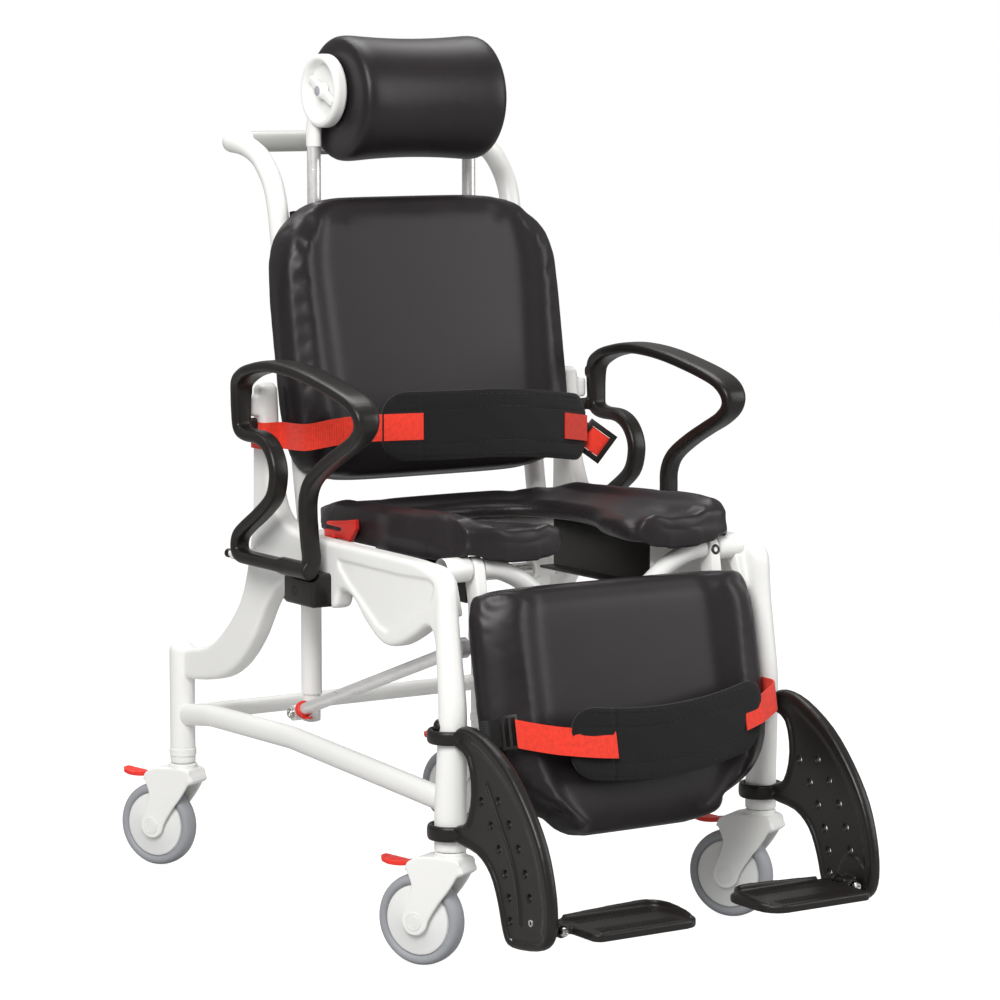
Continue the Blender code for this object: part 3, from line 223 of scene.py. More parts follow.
print("plain finishes:", len(bpy.data.materials))


# %% Woven finishes
def woven(name, colour, rib, thread, depth, rough, sheen):
    """Webbing or cloth: ribs across the strap and threads along it, from the UV map in metres."""
    mat, tree, shader = new_finish(name)
    for key, value in (("Roughness", rough), ("Specular IOR Level", 0.22), ("Sheen Weight", sheen),
                       ("Sheen Roughness", 0.5)):
        shader.inputs[key].default_value = value
    here = {"Vector": add(tree, "ShaderNodeTexCoord").outputs["UV"]}
    waves = {}
    for i, (direction, pitch) in enumerate((("X", rib), ("Y", thread))):
        bands = {"Scale": 0.314 / pitch, "Distortion": 0.6, "Detail Scale": 2.0}
        waves[i] = add(tree, "ShaderNodeTexWave", bands, here, bands_direction=direction).outputs["Fac"]
    cross = add(tree, "ShaderNodeMath", feeds=waves, operation="MULTIPLY")
    fuzz = add(tree, "ShaderNodeTexNoise", {"Scale": 160.0}, here)
    total = add(tree, "ShaderNodeMath", feeds={0: cross.outputs[0], 1: fuzz.outputs["Fac"]},
                operation="ADD").outputs[0]
    tint = tinted(tree, total, colour, (0.35, 0.72), (1.15, 1.12))
    tree.links.new(tint, shader.inputs["Base Color"])
    tree.links.new(bumped(tree, total, depth), shader.inputs["Normal"])
    return mat


RED_WEB = woven("red_webbing", (0.93, 0.046, 0.022), 0.0026, 0.0011, 0.0003, 0.62, 0.2)
BELT = woven("black_belt_cloth", (0.0085, 0.008, 0.0085), 0.0014, 0.0014, 0.00018, 0.82, 0.12)
BLACK_WEB = woven("black_webbing", (0.011, 0.01, 0.01), 0.0016, 0.0034, 0.0003, 0.75, 0.12)
print("woven finishes: 3")

# %% [markdown]
# ## Helpers
#
# Most of the chair is bent tube, turned discs, bevelled plates and castings. One helper makes
# each. A tube bridges rings of create_circle along a path, a turned piece spins a profile, a plate
# extrudes and bevels an outline, and a casting melts overlapping shapes into one skin with a voxel
# remesh, which leaves the soft fillets that a mould gives. Pieces are drawn for the sitter's left
# and mirrored for the right.

# %% Piece, twin and mirror
Y_MID = -0.0215
X, Y, Z = Vector((1, 0, 0)), Vector((0, 1, 0)), Vector((0, 0, 1))
SHARP = math.radians(38)


def point(x, y, z):
    """A point drawn with the seat's own y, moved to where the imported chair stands."""
    return x, y + Y_MID, z


def mm(*points):
    """Points of an outline, given in millimetres."""
    return [tuple(c / 1000 for c in p) for p in points]


def piece(name, bm, finishes, body, replaces=(), crease=SHARP):
    """A finished object at the origin, riding on a body, with clean outward faces."""
    bmesh.ops.remove_doubles(bm, verts=bm.verts[:], dist=0.00001)
    bmesh.ops.recalc_face_normals(bm, faces=bm.faces[:])
    mesh = bpy.data.meshes.new(name)
    bm.to_mesh(mesh)
    bm.free()
    mesh.shade_smooth()
    mesh.set_sharp_from_angle(angle=crease)
    for mat in finishes if isinstance(finishes, (list, tuple)) else [finishes]:
        mesh.materials.append(mat)
    ob = bpy.data.objects.new(name, mesh)
    scene.collection.objects.link(ob)
    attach(ob, body)
    if replaces:
        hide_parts(*([replaces] if isinstance(replaces, str) else replaces))
    return ob


def mirrored(bm):
    """The other hand of a piece."""
    twin_bm = bm.copy()
    bmesh.ops.scale(twin_bm, vec=(-1, 1, 1), verts=twin_bm.verts[:])
    bmesh.ops.reverse_faces(twin_bm, faces=twin_bm.faces[:])
    return twin_bm


def pair(name, bm, finishes, body, replaces=(), crease=SHARP):
    """Left and right copies. {} in body and replaces stands for the side."""
    for side, shape in (("left", bm), ("right", mirrored(bm))):
        stands = [r.format(side) for r in replaces]
        piece(f"{name}_{side}", shape, finishes, body.format(side), stands, crease)


def twin(node):
    """A merged copy of a CAD node's mesh as quads where its triangles pair up."""
    bm = bmesh.new()
    bm.from_mesh(nodes[node].data)
    bmesh.ops.remove_doubles(bm, verts=bm.verts[:], dist=0.00002)
    bmesh.ops.join_triangles(bm, faces=bm.faces[:], angle_face_threshold=math.radians(25),
                             angle_shape_threshold=math.radians(70))
    return bm


# %% Paths, tubes, turned pieces and plates
def spline(points, per=5, closed=False):
    """A smooth line through the points."""
    pts = [Vector(p) for p in points]
    count = len(pts)
    line = []
    for i in range(count if closed else count - 1):
        p1, p2 = pts[i], pts[(i + 1) % count]
        p0 = pts[i - 1] if (closed or i) else p1
        p3 = pts[(i + 2) % count] if (closed or i < count - 2) else p2
        for k in range(per):
            t = k / per
            line.append(0.5 * (2 * p1 + (p2 - p0) * t + (2 * p0 - 5 * p1 + 4 * p2 - p3) * t ** 2
                               + (3 * p1 - p0 - 3 * p2 + p3) * t ** 3))
    return line if closed else line + [pts[-1]]


def bent(points, radius, steps=8):
    """A line of straight runs with rounded bends, as a tube bender makes it."""
    pts = [Vector(p) for p in points]
    line = [pts[0]]
    for a, b, c in zip(pts, pts[1:], pts[2:]):
        u, v = (a - b).normalized(), (c - b).normalized()
        cut = min(radius / math.tan(u.angle(v) / 2), 0.48 * (a - b).length, 0.48 * (c - b).length)
        p, q = b + u * cut, b + v * cut
        for i in range(steps + 1):
            t = i / steps
            line.append(p * (1 - t) ** 2 + b * 2 * t * (1 - t) + q * t ** 2)
    return line + [pts[-1]]


def tube(bm, path, half_a, half_b=None, sides=28, closed=False, normal=None, square=1.0):
    """Bridges oval rings along a path. half_a lies along the normal, half_b across it."""
    pts = [Vector(p) for p in path]
    count = len(pts)
    half_b = half_a if half_b is None else half_b
    side = Vector(normal) if normal else None
    loops = []
    for i, p in enumerate(pts):
        before = pts[i - 1] if (i or closed) else p
        after = pts[(i + 1) % count] if (i < count - 1 or closed) else p
        tangent = (after - before).normalized()
        side = tangent.orthogonal() if side is None else side
        across = (side - tangent * side.dot(tangent)).normalized()
        side = side if normal else across
        turn = Matrix((across, tangent.cross(across), tangent)).transposed().to_4x4()
        turn.translation = p
        a = half_a[i] if isinstance(half_a, list) else half_a
        b = half_b[i] if isinstance(half_b, list) else half_b
        ring = bmesh.ops.create_circle(bm, segments=sides, radius=1.0)["verts"]
        for v in ring:
            x = math.copysign(abs(v.co.x) ** square, v.co.x)
            y = math.copysign(abs(v.co.y) ** square, v.co.y)
            v.co = turn @ Vector((a * x, b * y, 0))
        loops.append(list({e for v in ring for e in v.link_edges}))
    for i in range(count if closed else count - 1):
        bmesh.ops.bridge_loops(bm, edges=loops[i] + loops[(i + 1) % count])
    if not closed:
        bmesh.ops.edgeloop_fill(bm, edges=loops[0])
        bmesh.ops.edgeloop_fill(bm, edges=loops[-1])
    return bm


def rod(bm, a, b, r, sides=28):
    """A straight round bar."""
    return tube(bm, [a, b], r, sides=sides)


def turned(bm, profile, centre, axis, steps=48):
    """Spins a profile of (radius, height along the axis)."""
    axis = Vector(axis).normalized()
    arm = Z if abs(axis.z) < 0.9 else X
    arm = (arm - axis * arm.dot(axis)).normalized()
    c = Vector(centre)
    line = [bm.verts.new(c + arm * r + axis * h) for r, h in profile]
    edges = [bm.edges.new(pair_of) for pair_of in zip(line, line[1:])]
    bmesh.ops.spin(bm, geom=line + edges, cent=c, axis=axis, angle=2 * math.pi, steps=steps, use_merge=True)
    bmesh.ops.remove_doubles(bm, verts=bm.verts[:], dist=0.00001)
    return bm


def rounded(bm, edges, offset, segments=3, profile=0.5, clamp=False):
    """Bevels edges."""
    bmesh.ops.bevel(bm, geom=edges, offset=offset, segments=segments, profile=profile, affect="EDGES",
                    material=-1, clamp_overlap=clamp)


def raised(bm, corners, way):
    """A face through the corners, extruded by a vector. Gives the edges of both ends."""
    start = bm.faces.new([bm.verts.new(c) for c in corners])
    grown = bmesh.ops.extrude_face_region(bm, geom=[start])["geom"]
    bmesh.ops.translate(bm, vec=way, verts=[g for g in grown if isinstance(g, bmesh.types.BMVert)])
    far = next(g for g in grown if isinstance(g, bmesh.types.BMFace))
    return [*start.edges, *far.edges]


def plate(bm, outline, x0, x1, edge=0.0, segments=3):
    """Extrudes an outline of (y, z) along X and rounds its two rims."""
    rims = raised(bm, [(x0, y, z) for y, z in outline], (x1 - x0, 0, 0))
    if edge:
        rounded(bm, rims, edge, segments)
    return bm


def block(bm, low, high, edge=0.0, segments=3):
    """A bevelled box between two corners."""
    size = Vector(high) - Vector(low)
    middle = (Vector(high) + Vector(low)) / 2
    made = bmesh.ops.create_cube(bm, size=1.0,
                                 matrix=Matrix.Translation(middle) @ Matrix.Diagonal((*size, 1)))
    if edge:
        rounded(bm, list({e for v in made["verts"] for e in v.link_edges}), edge, segments)
    return bm


# %% Castings and cuts
def loose(bm, name="pattern"):
    """A bmesh as a temporary object, for the modifiers."""
    bmesh.ops.recalc_face_normals(bm, faces=bm.faces[:])
    mesh = bpy.data.meshes.new(name)
    bm.to_mesh(mesh)
    bm.free()
    ob = bpy.data.objects.new(name, mesh)
    scene.collection.objects.link(ob)
    return ob


def taken(ob, *also):
    """The evaluated mesh of a temporary object as a bmesh. The object goes."""
    dg = bpy.context.evaluated_depsgraph_get()
    bm = bmesh.new()
    bm.from_mesh(ob.evaluated_get(dg).to_mesh())
    for old in (ob, *also):
        mesh = old.data
        bpy.data.objects.remove(old, do_unlink=True)
        bpy.data.meshes.remove(mesh)
    return bm


def soften(bm, rounds):
    """Draws every point towards its neighbours."""
    for _ in range(rounds):
        bmesh.ops.smooth_vert(bm, verts=bm.verts[:], factor=0.5, use_axis_x=True, use_axis_y=True,
                              use_axis_z=True)
    return bm


def cast(bm, voxel, rounds=4):
    """Melts overlapping shapes into one skin and softens it, as a mould leaves it."""
    ob = loose(bm)
    fuse = ob.modifiers.new("fuse", "REMESH")
    fuse.mode = "VOXEL"
    fuse.voxel_size = voxel
    return soften(taken(ob), rounds)


def carved(bm, tool):
    """Cuts one shape out of another."""
    body, cutter = loose(bm), loose(tool, "cutter")
    cut = body.modifiers.new("cut", "BOOLEAN")
    cut.operation = "DIFFERENCE"
    cut.solver = "EXACT"
    cut.object = cutter
    return taken(body, cutter)


def bolt(bm, centre, axis, r, tall):
    """A round-headed screw with a hexagon socket."""
    hollow = 0.52 * r
    turned(bm, [(0.0, tall * 0.45), (hollow * 0.92, tall * 0.45), (hollow, tall), (0.8 * r, tall),
                (r, tall * 0.55), (r, -0.001)], centre, axis, 24)
    return bm


print("helpers ready")

# %% [markdown]
# ## Side castings
#
# Each side of the chair is one white casting: a deep plate with a swept arm to the rear post, the
# upright that carries the armrest, and the round front leg. The outline below is drawn as points in
# millimetres and smoothed. Plate, leg, post and lugs overlap, and the voxel remesh turns them into
# one casting with fillets, which is far easier than modelling each blend.

# %% Side castings
PLATE_IN, PLATE_OUT = 0.243, 0.273
LEG_X, LEG_Y, FOOT_Z = 0.258, -0.25 + Y_MID, 0.16
POST_X, POST_Y, POST_R = 0.267, 0.49 + Y_MID, 0.019
ARM_X, ARM_PIN_Z = 0.305, 0.5045
side_points = mm((-245, 500), (-244, 514), (-237, 526), (-218, 534.5), (-185, 541), (-100, 543), (100, 545),
                 (158, 552), (192, 570), (210, 602), (224, 650), (230.5, 735), (236, 746), (244.5, 750),
                 (253, 746), (258, 735), (260, 620), (262, 560), (268, 525), (281, 475), (302, 430),
                 (342, 388), (400, 350), (490, 330), (490, 292), (390, 300), (322, 326), (268, 372),
                 (230, 424), (200, 456), (160, 476), (75, 482), (62, 456), (30, 452), (14, 478), (-20, 472),
                 (-50, 446), (-85, 424), (-112, 418), (-140, 423), (-178, 440), (-205, 455), (-222, 456),
                 (-232, 438), (-238, 402), (-244, 358), (-266, 358), (-260, 405), (-251, 450))
gusset_points = mm((20, 522.5), (-147.6, 520.5), (-218, 523.5), (-231, 518), (-232.5, 507), (-224, 493.5),
                   (-189.6, 474.5), (-134.2, 447), (-112, 436), (-86, 442), (-46, 468), (-10, 490),
                   (16, 510))


def flowing(outline, per):
    """A closed outline of pairs, smoothed."""
    return [(p.x, p.y) for p in spline([(*pair_of, 0) for pair_of in outline], per, closed=True)]


def on_side(points, per=0):
    """Outline points moved to the chair's place, smoothed where per is given."""
    line = [(y + Y_MID, z) for y, z in points]
    return flowing(line, per) if per else line


def domed_post(bm, x, y, r, low, high):
    """An upright round post with a rounded top."""
    profile = [(0.0, low), (r, low), (r, high - 0.7 * r)]
    profile += [(r * math.cos(a), high - 0.7 * r + 0.7 * r * math.sin(a)) for a in (0.4, 0.8, 1.2)]
    return turned(bm, profile + [(0.0, high)], (x, y, 0), Z, 48)


casting = plate(bmesh.new(), on_side(side_points, 4), PLATE_IN, PLATE_OUT, 0.007, 4)
pocket = plate(bmesh.new(), on_side(gusset_points), PLATE_OUT - 0.0032, PLATE_OUT + 0.02)
casting = carved(casting, pocket)
leg_points = mm((-275, 280), (-277.5, 335), (-276.5, 364), (-271.6, 402), (-266, 447), (-263.5, 480),
                (-263, 503), (-260.8, 516.5), (-253, 524.5), (-239, 527), (-215, 528))
leg_line = spline([(LEG_X, y, z) for y, z in [(LEG_Y, FOOT_Z), (LEG_Y, 0.215)] + leg_points], 4)
leg_radii = [0.022 - 0.007 * max(0.0, (p.z - FOOT_Z) / 0.345) ** 1.5 for p in leg_line]
tube(casting, leg_line, leg_radii, sides=40, normal=X)
plate(casting, mm((-218, 522), (-246, 520), (-262, 472), (-250, 470)), 0.23, 0.246)
domed_post(casting, POST_X, POST_Y, POST_R, FOOT_Z, 0.345)
block(casting, point(PLATE_IN + 0.008, 0.2335, 0.7025), point(0.2888, 0.2535, 0.732), 0.0035)
block(casting, point(PLATE_IN + 0.008, 0.2535, ARM_PIN_Z - 0.0085),
      point(ARM_X + 0.004, 0.2625, ARM_PIN_Z + 0.0065), 0.003)
rod(casting, point(ARM_X, 0.044, ARM_PIN_Z), point(ARM_X, 0.056, ARM_PIN_Z), 0.005)
rod(casting, point(ARM_X, 0.239, ARM_PIN_Z), point(ARM_X, 0.27, ARM_PIN_Z), 0.005)
casting = cast(casting, 0.0022, 5)
print("side casting:", len(casting.faces), "faces")
pair("side_casting", casting, WHITE, "base", ["side_frame_{}"])

# %% Small things on the side castings
trim = turned(bmesh.new(), mm((0, 11.8), (4, 11), (6.5, 7.5), (6.5, 4), (4, 0.8), (3.5, -6)),
              point(ARM_X, 0.2655, ARM_PIN_Z), Y, 24)
pair("armrest_pull_pin", trim, BLACK, "base")
seam = turned(bmesh.new(), [(POST_R + 0.0001, 0.0), (POST_R + 0.0012, 0.001), (POST_R + 0.0012, 0.011),
                            (POST_R + 0.0001, 0.012)], (POST_X, POST_Y, 0.171), Z, 48)
pair("post_collar", seam, WHITE, "base")
plug = turned(bmesh.new(), mm((0, 8), (4, 7.6), (8, 5.2), (10, 2), (10.4, -3), (0, -4)),
              (LEG_X + 0.015, -0.2775 + 0.0095, 0.329), (0.84, 0.54, 0), 32)
pair("leg_plug", plug, BLACK, "base")

# %% [markdown]
# ## Frame tubes
#
# The base rails are flattened tubes, so their rings are ovals. The rear cross tube and the front
# tube that dips under the seat opening are round. Their ends run a few millimetres into the
# castings, which reads as a weld.

# %% Frame tubes
RAIL_Z = 0.233
rail_line = bent([(POST_X, POST_Y, RAIL_Z), (POST_X, POST_Y - 0.09, RAIL_Z + 0.012),
                  (LEG_X + 0.002, LEG_Y + 0.42, RAIL_Z + 0.014), (LEG_X, LEG_Y, RAIL_Z - 0.008)], 0.14, 10)
pair("base_rail_tube", tube(bmesh.new(), rail_line, 0.0125, 0.0165, 32, normal=X, square=0.92), WHITE,
     "base", ["base_rail_{}"])
cross = rod(bmesh.new(), (-POST_X, POST_Y + 0.004, RAIL_Z), (POST_X, POST_Y + 0.004, RAIL_Z), 0.0125, 36)
piece("rear_tube", cross, WHITE, "base", "rear_cross_tube")

AXLE_Y, AXLE_Z = -0.209 + Y_MID, 0.53
dip_half = mm((184, 0), (165, -2.5), (145, -8.5), (122, -20), (100, -36.5), (78, -52), (50, -60.5),
              (20, -62))
dip_line = spline([(x, AXLE_Y, AXLE_Z + z) for x, z in [(-x, z) for x, z in dip_half] + dip_half[::-1]], 5)
front = tube(bmesh.new(), dip_line, 0.0132, sides=32, normal=Y)
for s in (-1, 1):
    turned(front, mm((0, 170), (9, 170), (9, 204), (15.5, 204.5), (17, 207), (17, 246)),
           (0, AXLE_Y, AXLE_Z), (s, 0, 0), 36)
piece("front_tube", front, WHITE, "base", "front_cross_tube")
SPAN, SHAFT_R = 0.2427, 0.011
seat_tube = rod(bmesh.new(), point(-SPAN, 0.14, 0.536), point(SPAN, 0.14, 0.536), SHAFT_R, 32)
piece("seat_tube", seat_tube, WHITE, "base", "rear_seat_tube")
BACK_Y, BACK_Z = 0.222 + Y_MID, 0.45
shaft = rod(bmesh.new(), (-SPAN, BACK_Y, BACK_Z), (SPAN, BACK_Y, BACK_Z), SHAFT_R, 32)
piece("pivot_shaft", shaft, STEEL, "base", "back_pivot_shaft")
print("frame tubes done")

# %% [markdown]
# ## Back frame
#
# Two bent uprights carry the back. Below their pivot they run on as levers, each ending in a small
# plugged-in fork for the link rod. The push bar sweeps back from their tops, and its white crossbar
# wears a grey sleeve of painted shade.

# %% Uprights
BACK_X, BACK_R, LEVER_Z, LINK_X = 0.198, 0.0145, 0.272, 0.2245
LEAN_ANGLE = math.atan(0.174)
LEAN = Vector((0, math.sin(LEAN_ANGLE), math.cos(LEAN_ANGLE)))
OUT = Vector((0, -math.cos(LEAN_ANGLE), math.sin(LEAN_ANGLE)))
KNEE = Vector((0, BACK_Y, 0.5))
UP_TOP = KNEE + LEAN * (0.508 / LEAN.z)
BAR_FOOT = UP_TOP - LEAN * 0.06


def on_back(x, up, out):
    """A point on the leaning back: across, up from the knee, out towards the sitter."""
    p = KNEE + LEAN * up + OUT * out
    return Vector((x, p.y, p.z))


line = bent([(BACK_X, BACK_Y, LEVER_Z + 0.026), (BACK_X, BACK_Y, 0.5), (0.2, BAR_FOOT.y, BAR_FOOT.z)], 0.14,
            10)
upright = tube(bmesh.new(), line, 0.0149, sides=40, normal=X)
turned(upright, mm((11.2, -17), (16, -17), (17, -16), (17, 16), (16, 17), (11.2, 17)),
       (BACK_X, BACK_Y, BACK_Z), X, 40)
pair("back_tube", upright, WHITE, "back", ["back_upright_{}"])

fork = rod(bmesh.new(), (BACK_X, BACK_Y, LEVER_Z - 0.014), (BACK_X, BACK_Y, LEVER_Z + 0.03), 0.0128)
block(fork, (BACK_X - 0.006, BACK_Y - 0.013, LEVER_Z - 0.015),
      (BACK_X + 0.0125, BACK_Y + 0.013, LEVER_Z + 0.013), 0.004)
pair("lever_end", cast(fork, 0.0011, 4), WHITE, "back")
pin = rod(bmesh.new(), (BACK_X + 0.01, BACK_Y, LEVER_Z), (LINK_X + 0.008, BACK_Y, LEVER_Z), 0.0055, 24)
bolt(pin, (LINK_X + 0.008, BACK_Y, LEVER_Z), X, 0.0075, 0.004)
bolt(pin, (BACK_X - 0.006, BACK_Y, LEVER_Z), (-1, 0, 0), 0.0075, 0.004)
pair("lever_pin", pin, STEEL, "back")

# %% Push bar and release lever
BAR_Y, BAR_Z = 0.44 + Y_MID, 1.0865
bar_points = mm((200, 283.5, 977), (200, 289, 1001), (200, 297.5, 1023.5), (200, 313.3, 1045.5),
                (200.5, 335.6, 1065.5), (202, 363.9, 1078.5), (204, 390, 1084.5), (204, 410, 1086),
                (198, 422, 1086.5), (186, 427.2, 1086.5), (168, 428.2, 1086.5), (100, 428.2, 1086.5))
arc = [(0.2, BAR_FOOT.y, BAR_FOOT.z)] + bar_points
bar_line = spline([(-x, y, z) for x, y, z in arc] + arc[::-1], 6)
bar = tube(bmesh.new(), bar_line, 0.015, sides=40, normal=(0, 0.6, -0.8))
for s in (-1, 1):
    block(bar, (s * 0.046 - 0.004, BAR_Y + 0.004, BAR_Z - 0.015), (s * 0.046 + 0.004, BAR_Y + 0.029, BAR_Z),
          0.0025)
piece("push_tube", bar, WHITE, "back", "push_bar")
# A grey sleeve of painted shade over the white crossbar: the crossbar is white, only shaded grey.
shade_sleeve = turned(bmesh.new(), mm((14.6, -168), (15.2, -167.5), (15.45, -166), (15.45, 166), (15.2, 167.5),
                                (14.6, 168)), (0, 0.4282, BAR_Z), X, 48)
piece("push_bar_shade_sleeve", shade_sleeve, PAINTED_SHADE_GREY, "back", crease=math.radians(40))
lever = twin("release_lever")
rounded(lever, lever.edges[:], 0.0012, 2, clamp=True)
piece("release_paddle", lever, BLACK, "release_handle", "release_lever")
piece("back_board", twin("back_panel"), BLACK, "back", "back_panel",
      crease=math.radians(30))
print("back frame done")

# %% [markdown]
# ## Foam pads
#
# The seat, back, calf and head pads are moulded foam with a tight charcoal skin. Back and calf start
# as a bent grid, the roll as a turned profile and the seat as a smoothed copy of its solid. Each is
# remeshed into even squares so that Blender's Cloth can swell it: a little pressure with no gravity,
# the bearing side held still, and every point kept within a few millimetres of where it began. The
# seat gets its firm rims, scooped horns and skirt last.


# %% Pad shells
def pad_shell(place, half_u, half_v, corners, face, edge, lip=0.0, cuts=48):
    """A grid bent to face(u, v), its rim rolled round the edge, taken back and closed behind."""
    bm = bmesh.new()
    bmesh.ops.create_grid(bm, x_segments=cuts, y_segments=cuts, size=1.0)
    spot = bm.verts.layers.float_vector.new("spot")
    for v in bm.verts:
        v[spot] = v.co.copy()

    def at(v, inset, drop=None, out=0.0):
        """Where a grid point goes: drawn in by inset, below the face by drop or at a plain height."""
        u, w = v[spot].x, v[spot].y
        corner = corners[0] if w > 0 else corners[1]
        a = u * math.sqrt(1 - corner * w ** 6) * (half_u(w) - inset)
        b = w * math.sqrt(1 - corner * u ** 6) * (half_v - inset)
        return place(a, b, out if drop is None else face(u, w) - drop)

    for v in bm.verts:
        v.co = at(v, edge, 0.0)
    rim = [e for e in bm.edges if e.is_boundary]
    turns = [math.pi / 2 * k / 6 for k in range(1, 7)]
    rows = [dict(inset=edge * (1 - math.sin(t)), drop=edge * (1 - math.cos(t))) for t in turns]
    rows += [dict(inset=0.0, out=o) for o in (0.024, 0.014, 0.006 - lip)] + [dict(inset=0.006, out=-lip)]
    for row in rows:
        grown = bmesh.ops.extrude_edge_only(bm, edges=rim)["geom"]
        for g in grown:
            if isinstance(g, bmesh.types.BMVert):
                g.co = at(g, **row)
        rim = [g for g in grown if isinstance(g, bmesh.types.BMEdge) and g.is_boundary]
    bmesh.ops.edgeloop_fill(bm, edges=rim)
    return bm


def ease(t):
    """A soft step from 0 to 1."""
    t = min(1.0, max(0.0, t))
    return t * t * (3 - 2 * t)


# %% Swell a pad
SWELL, CLOTH_FRAMES = 0.003, 20
CLOTH = dict(quality=5, mass=0.3, tension_stiffness=25, compression_stiffness=25, bending_stiffness=6,
             use_pressure=True, uniform_pressure_force=4.0, vertex_group_mass="held")


def foam(name, bm, voxel, held, swell=SWELL):
    """A remeshed, inflated pad. held(point) is True where the pad is fastened."""
    bm = cast(bm, voxel, 2)
    ob = loose(bm, name + "_cloth")
    rest = [v.co.copy() for v in ob.data.vertices]
    pinned = ob.vertex_groups.new(name="held")
    pinned.add([i for i, p in enumerate(rest) if held(p)], 1.0, "REPLACE")
    cloth = ob.modifiers.new("cloth", "CLOTH")
    for key, value in CLOTH.items():
        setattr(cloth.settings, key, value)
    cloth.settings.effector_weights.gravity = 0.0
    cloth.point_cache.frame_end = CLOTH_FRAMES
    for step in range(CLOTH_FRAMES):
        scene.frame_set(step + 1)
    bm = taken(ob)
    scene.frame_set(1)
    moved = 0.0
    for v, p in zip(bm.verts, rest):
        shift = v.co - p
        if shift.length > swell:
            shift *= swell / shift.length
        v.co = p + shift
        moved = max(moved, shift.length)
    print(f"{name}: swelled by up to {moved * 1000:.1f} mm over {len(bm.verts)} points")
    return soften(bm, 2)


def foam_pad(name, bm, node, body):
    """The pad as a piece with one level of subdivision."""
    ob = piece(name, bm, SKIN, body, node, crease=math.radians(80))
    smooth = ob.modifiers.new("smooth", "SUBSURF")
    smooth.levels = smooth.render_levels = 1
    return ob


# %% Back cushion
pad_out = BACK_R * math.cos(math.pi / 12) + 0.0003
PAD_MID, PAD_TALL, PAD_HALF = 0.3065, 0.206, 0.236


def back_face(u, v):
    """Nearly flat in the middle, rising to a ridge at both sides, drawn in at top and bottom."""
    side = abs(u)
    rise = ease((side - 0.71 - 0.04 * v) / 0.2) * (1 - 0.35 * v ** 8)
    ridge = rise - 0.35 * max(0.0, side - 0.9 - 0.03 * v) / 0.1
    return 0.046 + 0.013 * ridge + 0.003 * (1 - u * u) * (1 - v * v) - 0.004 * v ** 10


shell = pad_shell(lambda a, b, o: on_back(a, PAD_MID + b, pad_out + o),
                  lambda v: PAD_HALF - 0.006 * max(v, 0) ** 3, PAD_TALL, (0.27, 0.18), back_face, 0.014,
                  lip=0.008)
shell = foam("back_cushion", shell, 0.0048, lambda p: (p - KNEE).dot(OUT) < pad_out + 0.012)
foam_pad("back_cushion", shell, "back_pad", "back")

# %% Calf cushion
HANG = Vector((0, -0.204, -0.979)).normalized()
HANG_OUT = Vector((0, -0.979, 0.204)).normalized()
AXLE = Vector((0, AXLE_Y, AXLE_Z))
CALF_HALF, CALF_MID, CALF_TALL = 0.23, 0.202, 0.172


def on_calf(x, down, out):
    """A point on the hanging calf pad: across, down from the axle, out towards the front."""
    p = AXLE + HANG * down + HANG_OUT * (0.0153 + out)
    return Vector((x, p.y, p.z))


def calf_face(u, v):
    """Flat middle, a ridge near each side and a long slope outside it."""
    side = abs(u)
    ridge = 0.013 * ease((side - 0.62) / 0.2)
    slope = 0.019 * max(0.0, (side - 0.82) / 0.18) ** 2
    return 0.042 + ridge - slope - 0.004 * v ** 10


shell = pad_shell(lambda a, b, o: on_calf(a, CALF_MID - b, o),
                  lambda v: CALF_HALF - 0.055 * max(-v, 0) ** 3, CALF_TALL, (0.1, 0.32), calf_face, 0.012)
shell = foam("calf_cushion", shell, 0.0046, lambda p: (p - AXLE).dot(HANG_OUT) < 0.026)
foam_pad("calf_cushion", shell, "calf_pad", "calf_rest")

# %% Seat cushion and headrest roll
seat_bm = twin("seat_pad")
edges = [e for e in seat_bm.edges if e.is_manifold and e.calc_face_angle() > math.radians(34)]
rounded(seat_bm, edges, 0.0045, 2, 0.55, clamp=True)
seat = loose(seat_bm, "seat_smooth")
smooth = seat.modifiers.new("smooth", "SUBSURF")
smooth.levels = smooth.render_levels = 2
shell = foam("seat_cushion", taken(seat), 0.0043, lambda p: p.z < 0.553)


def seat_point(p):
    """Firm rims along both sides, scooped horns and a skirt that comes down to the frame."""
    side = abs(p.x)
    top = ease((p.z - 0.562) / 0.012)
    rim = (ease((side - 0.18) / 0.016) * ease((p.y + 0.252) / 0.03)
           * (1 - ease((p.y - 0.075) / 0.05)))
    scoop = (ease((-0.13 - p.y) / 0.06) * ease((side - 0.085) / 0.03)
             * (1 - ease((side - 0.15) / 0.03)))
    skirt = ease((0.5565 - p.z) / 0.006) * max(ease((side - 0.205) / 0.01), ease((-0.247 - p.y) / 0.01))
    square = 0.03 * ease((side - 0.13) / 0.07) * ease((p.y - 0.045) / 0.07)
    wide = 1 + 0.04 * ease((side - 0.17) / 0.04) * ease((-0.01 - p.y) / 0.06)
    lift = top * (0.0085 * rim - 0.0085 * scoop)
    return Vector((p.x * wide, p.y + square, p.z + lift - 0.0135 * skirt))


for v in shell.verts:
    v.co = seat_point(v.co)
foam_pad("seat_cushion", shell, "seat_pad", "base")

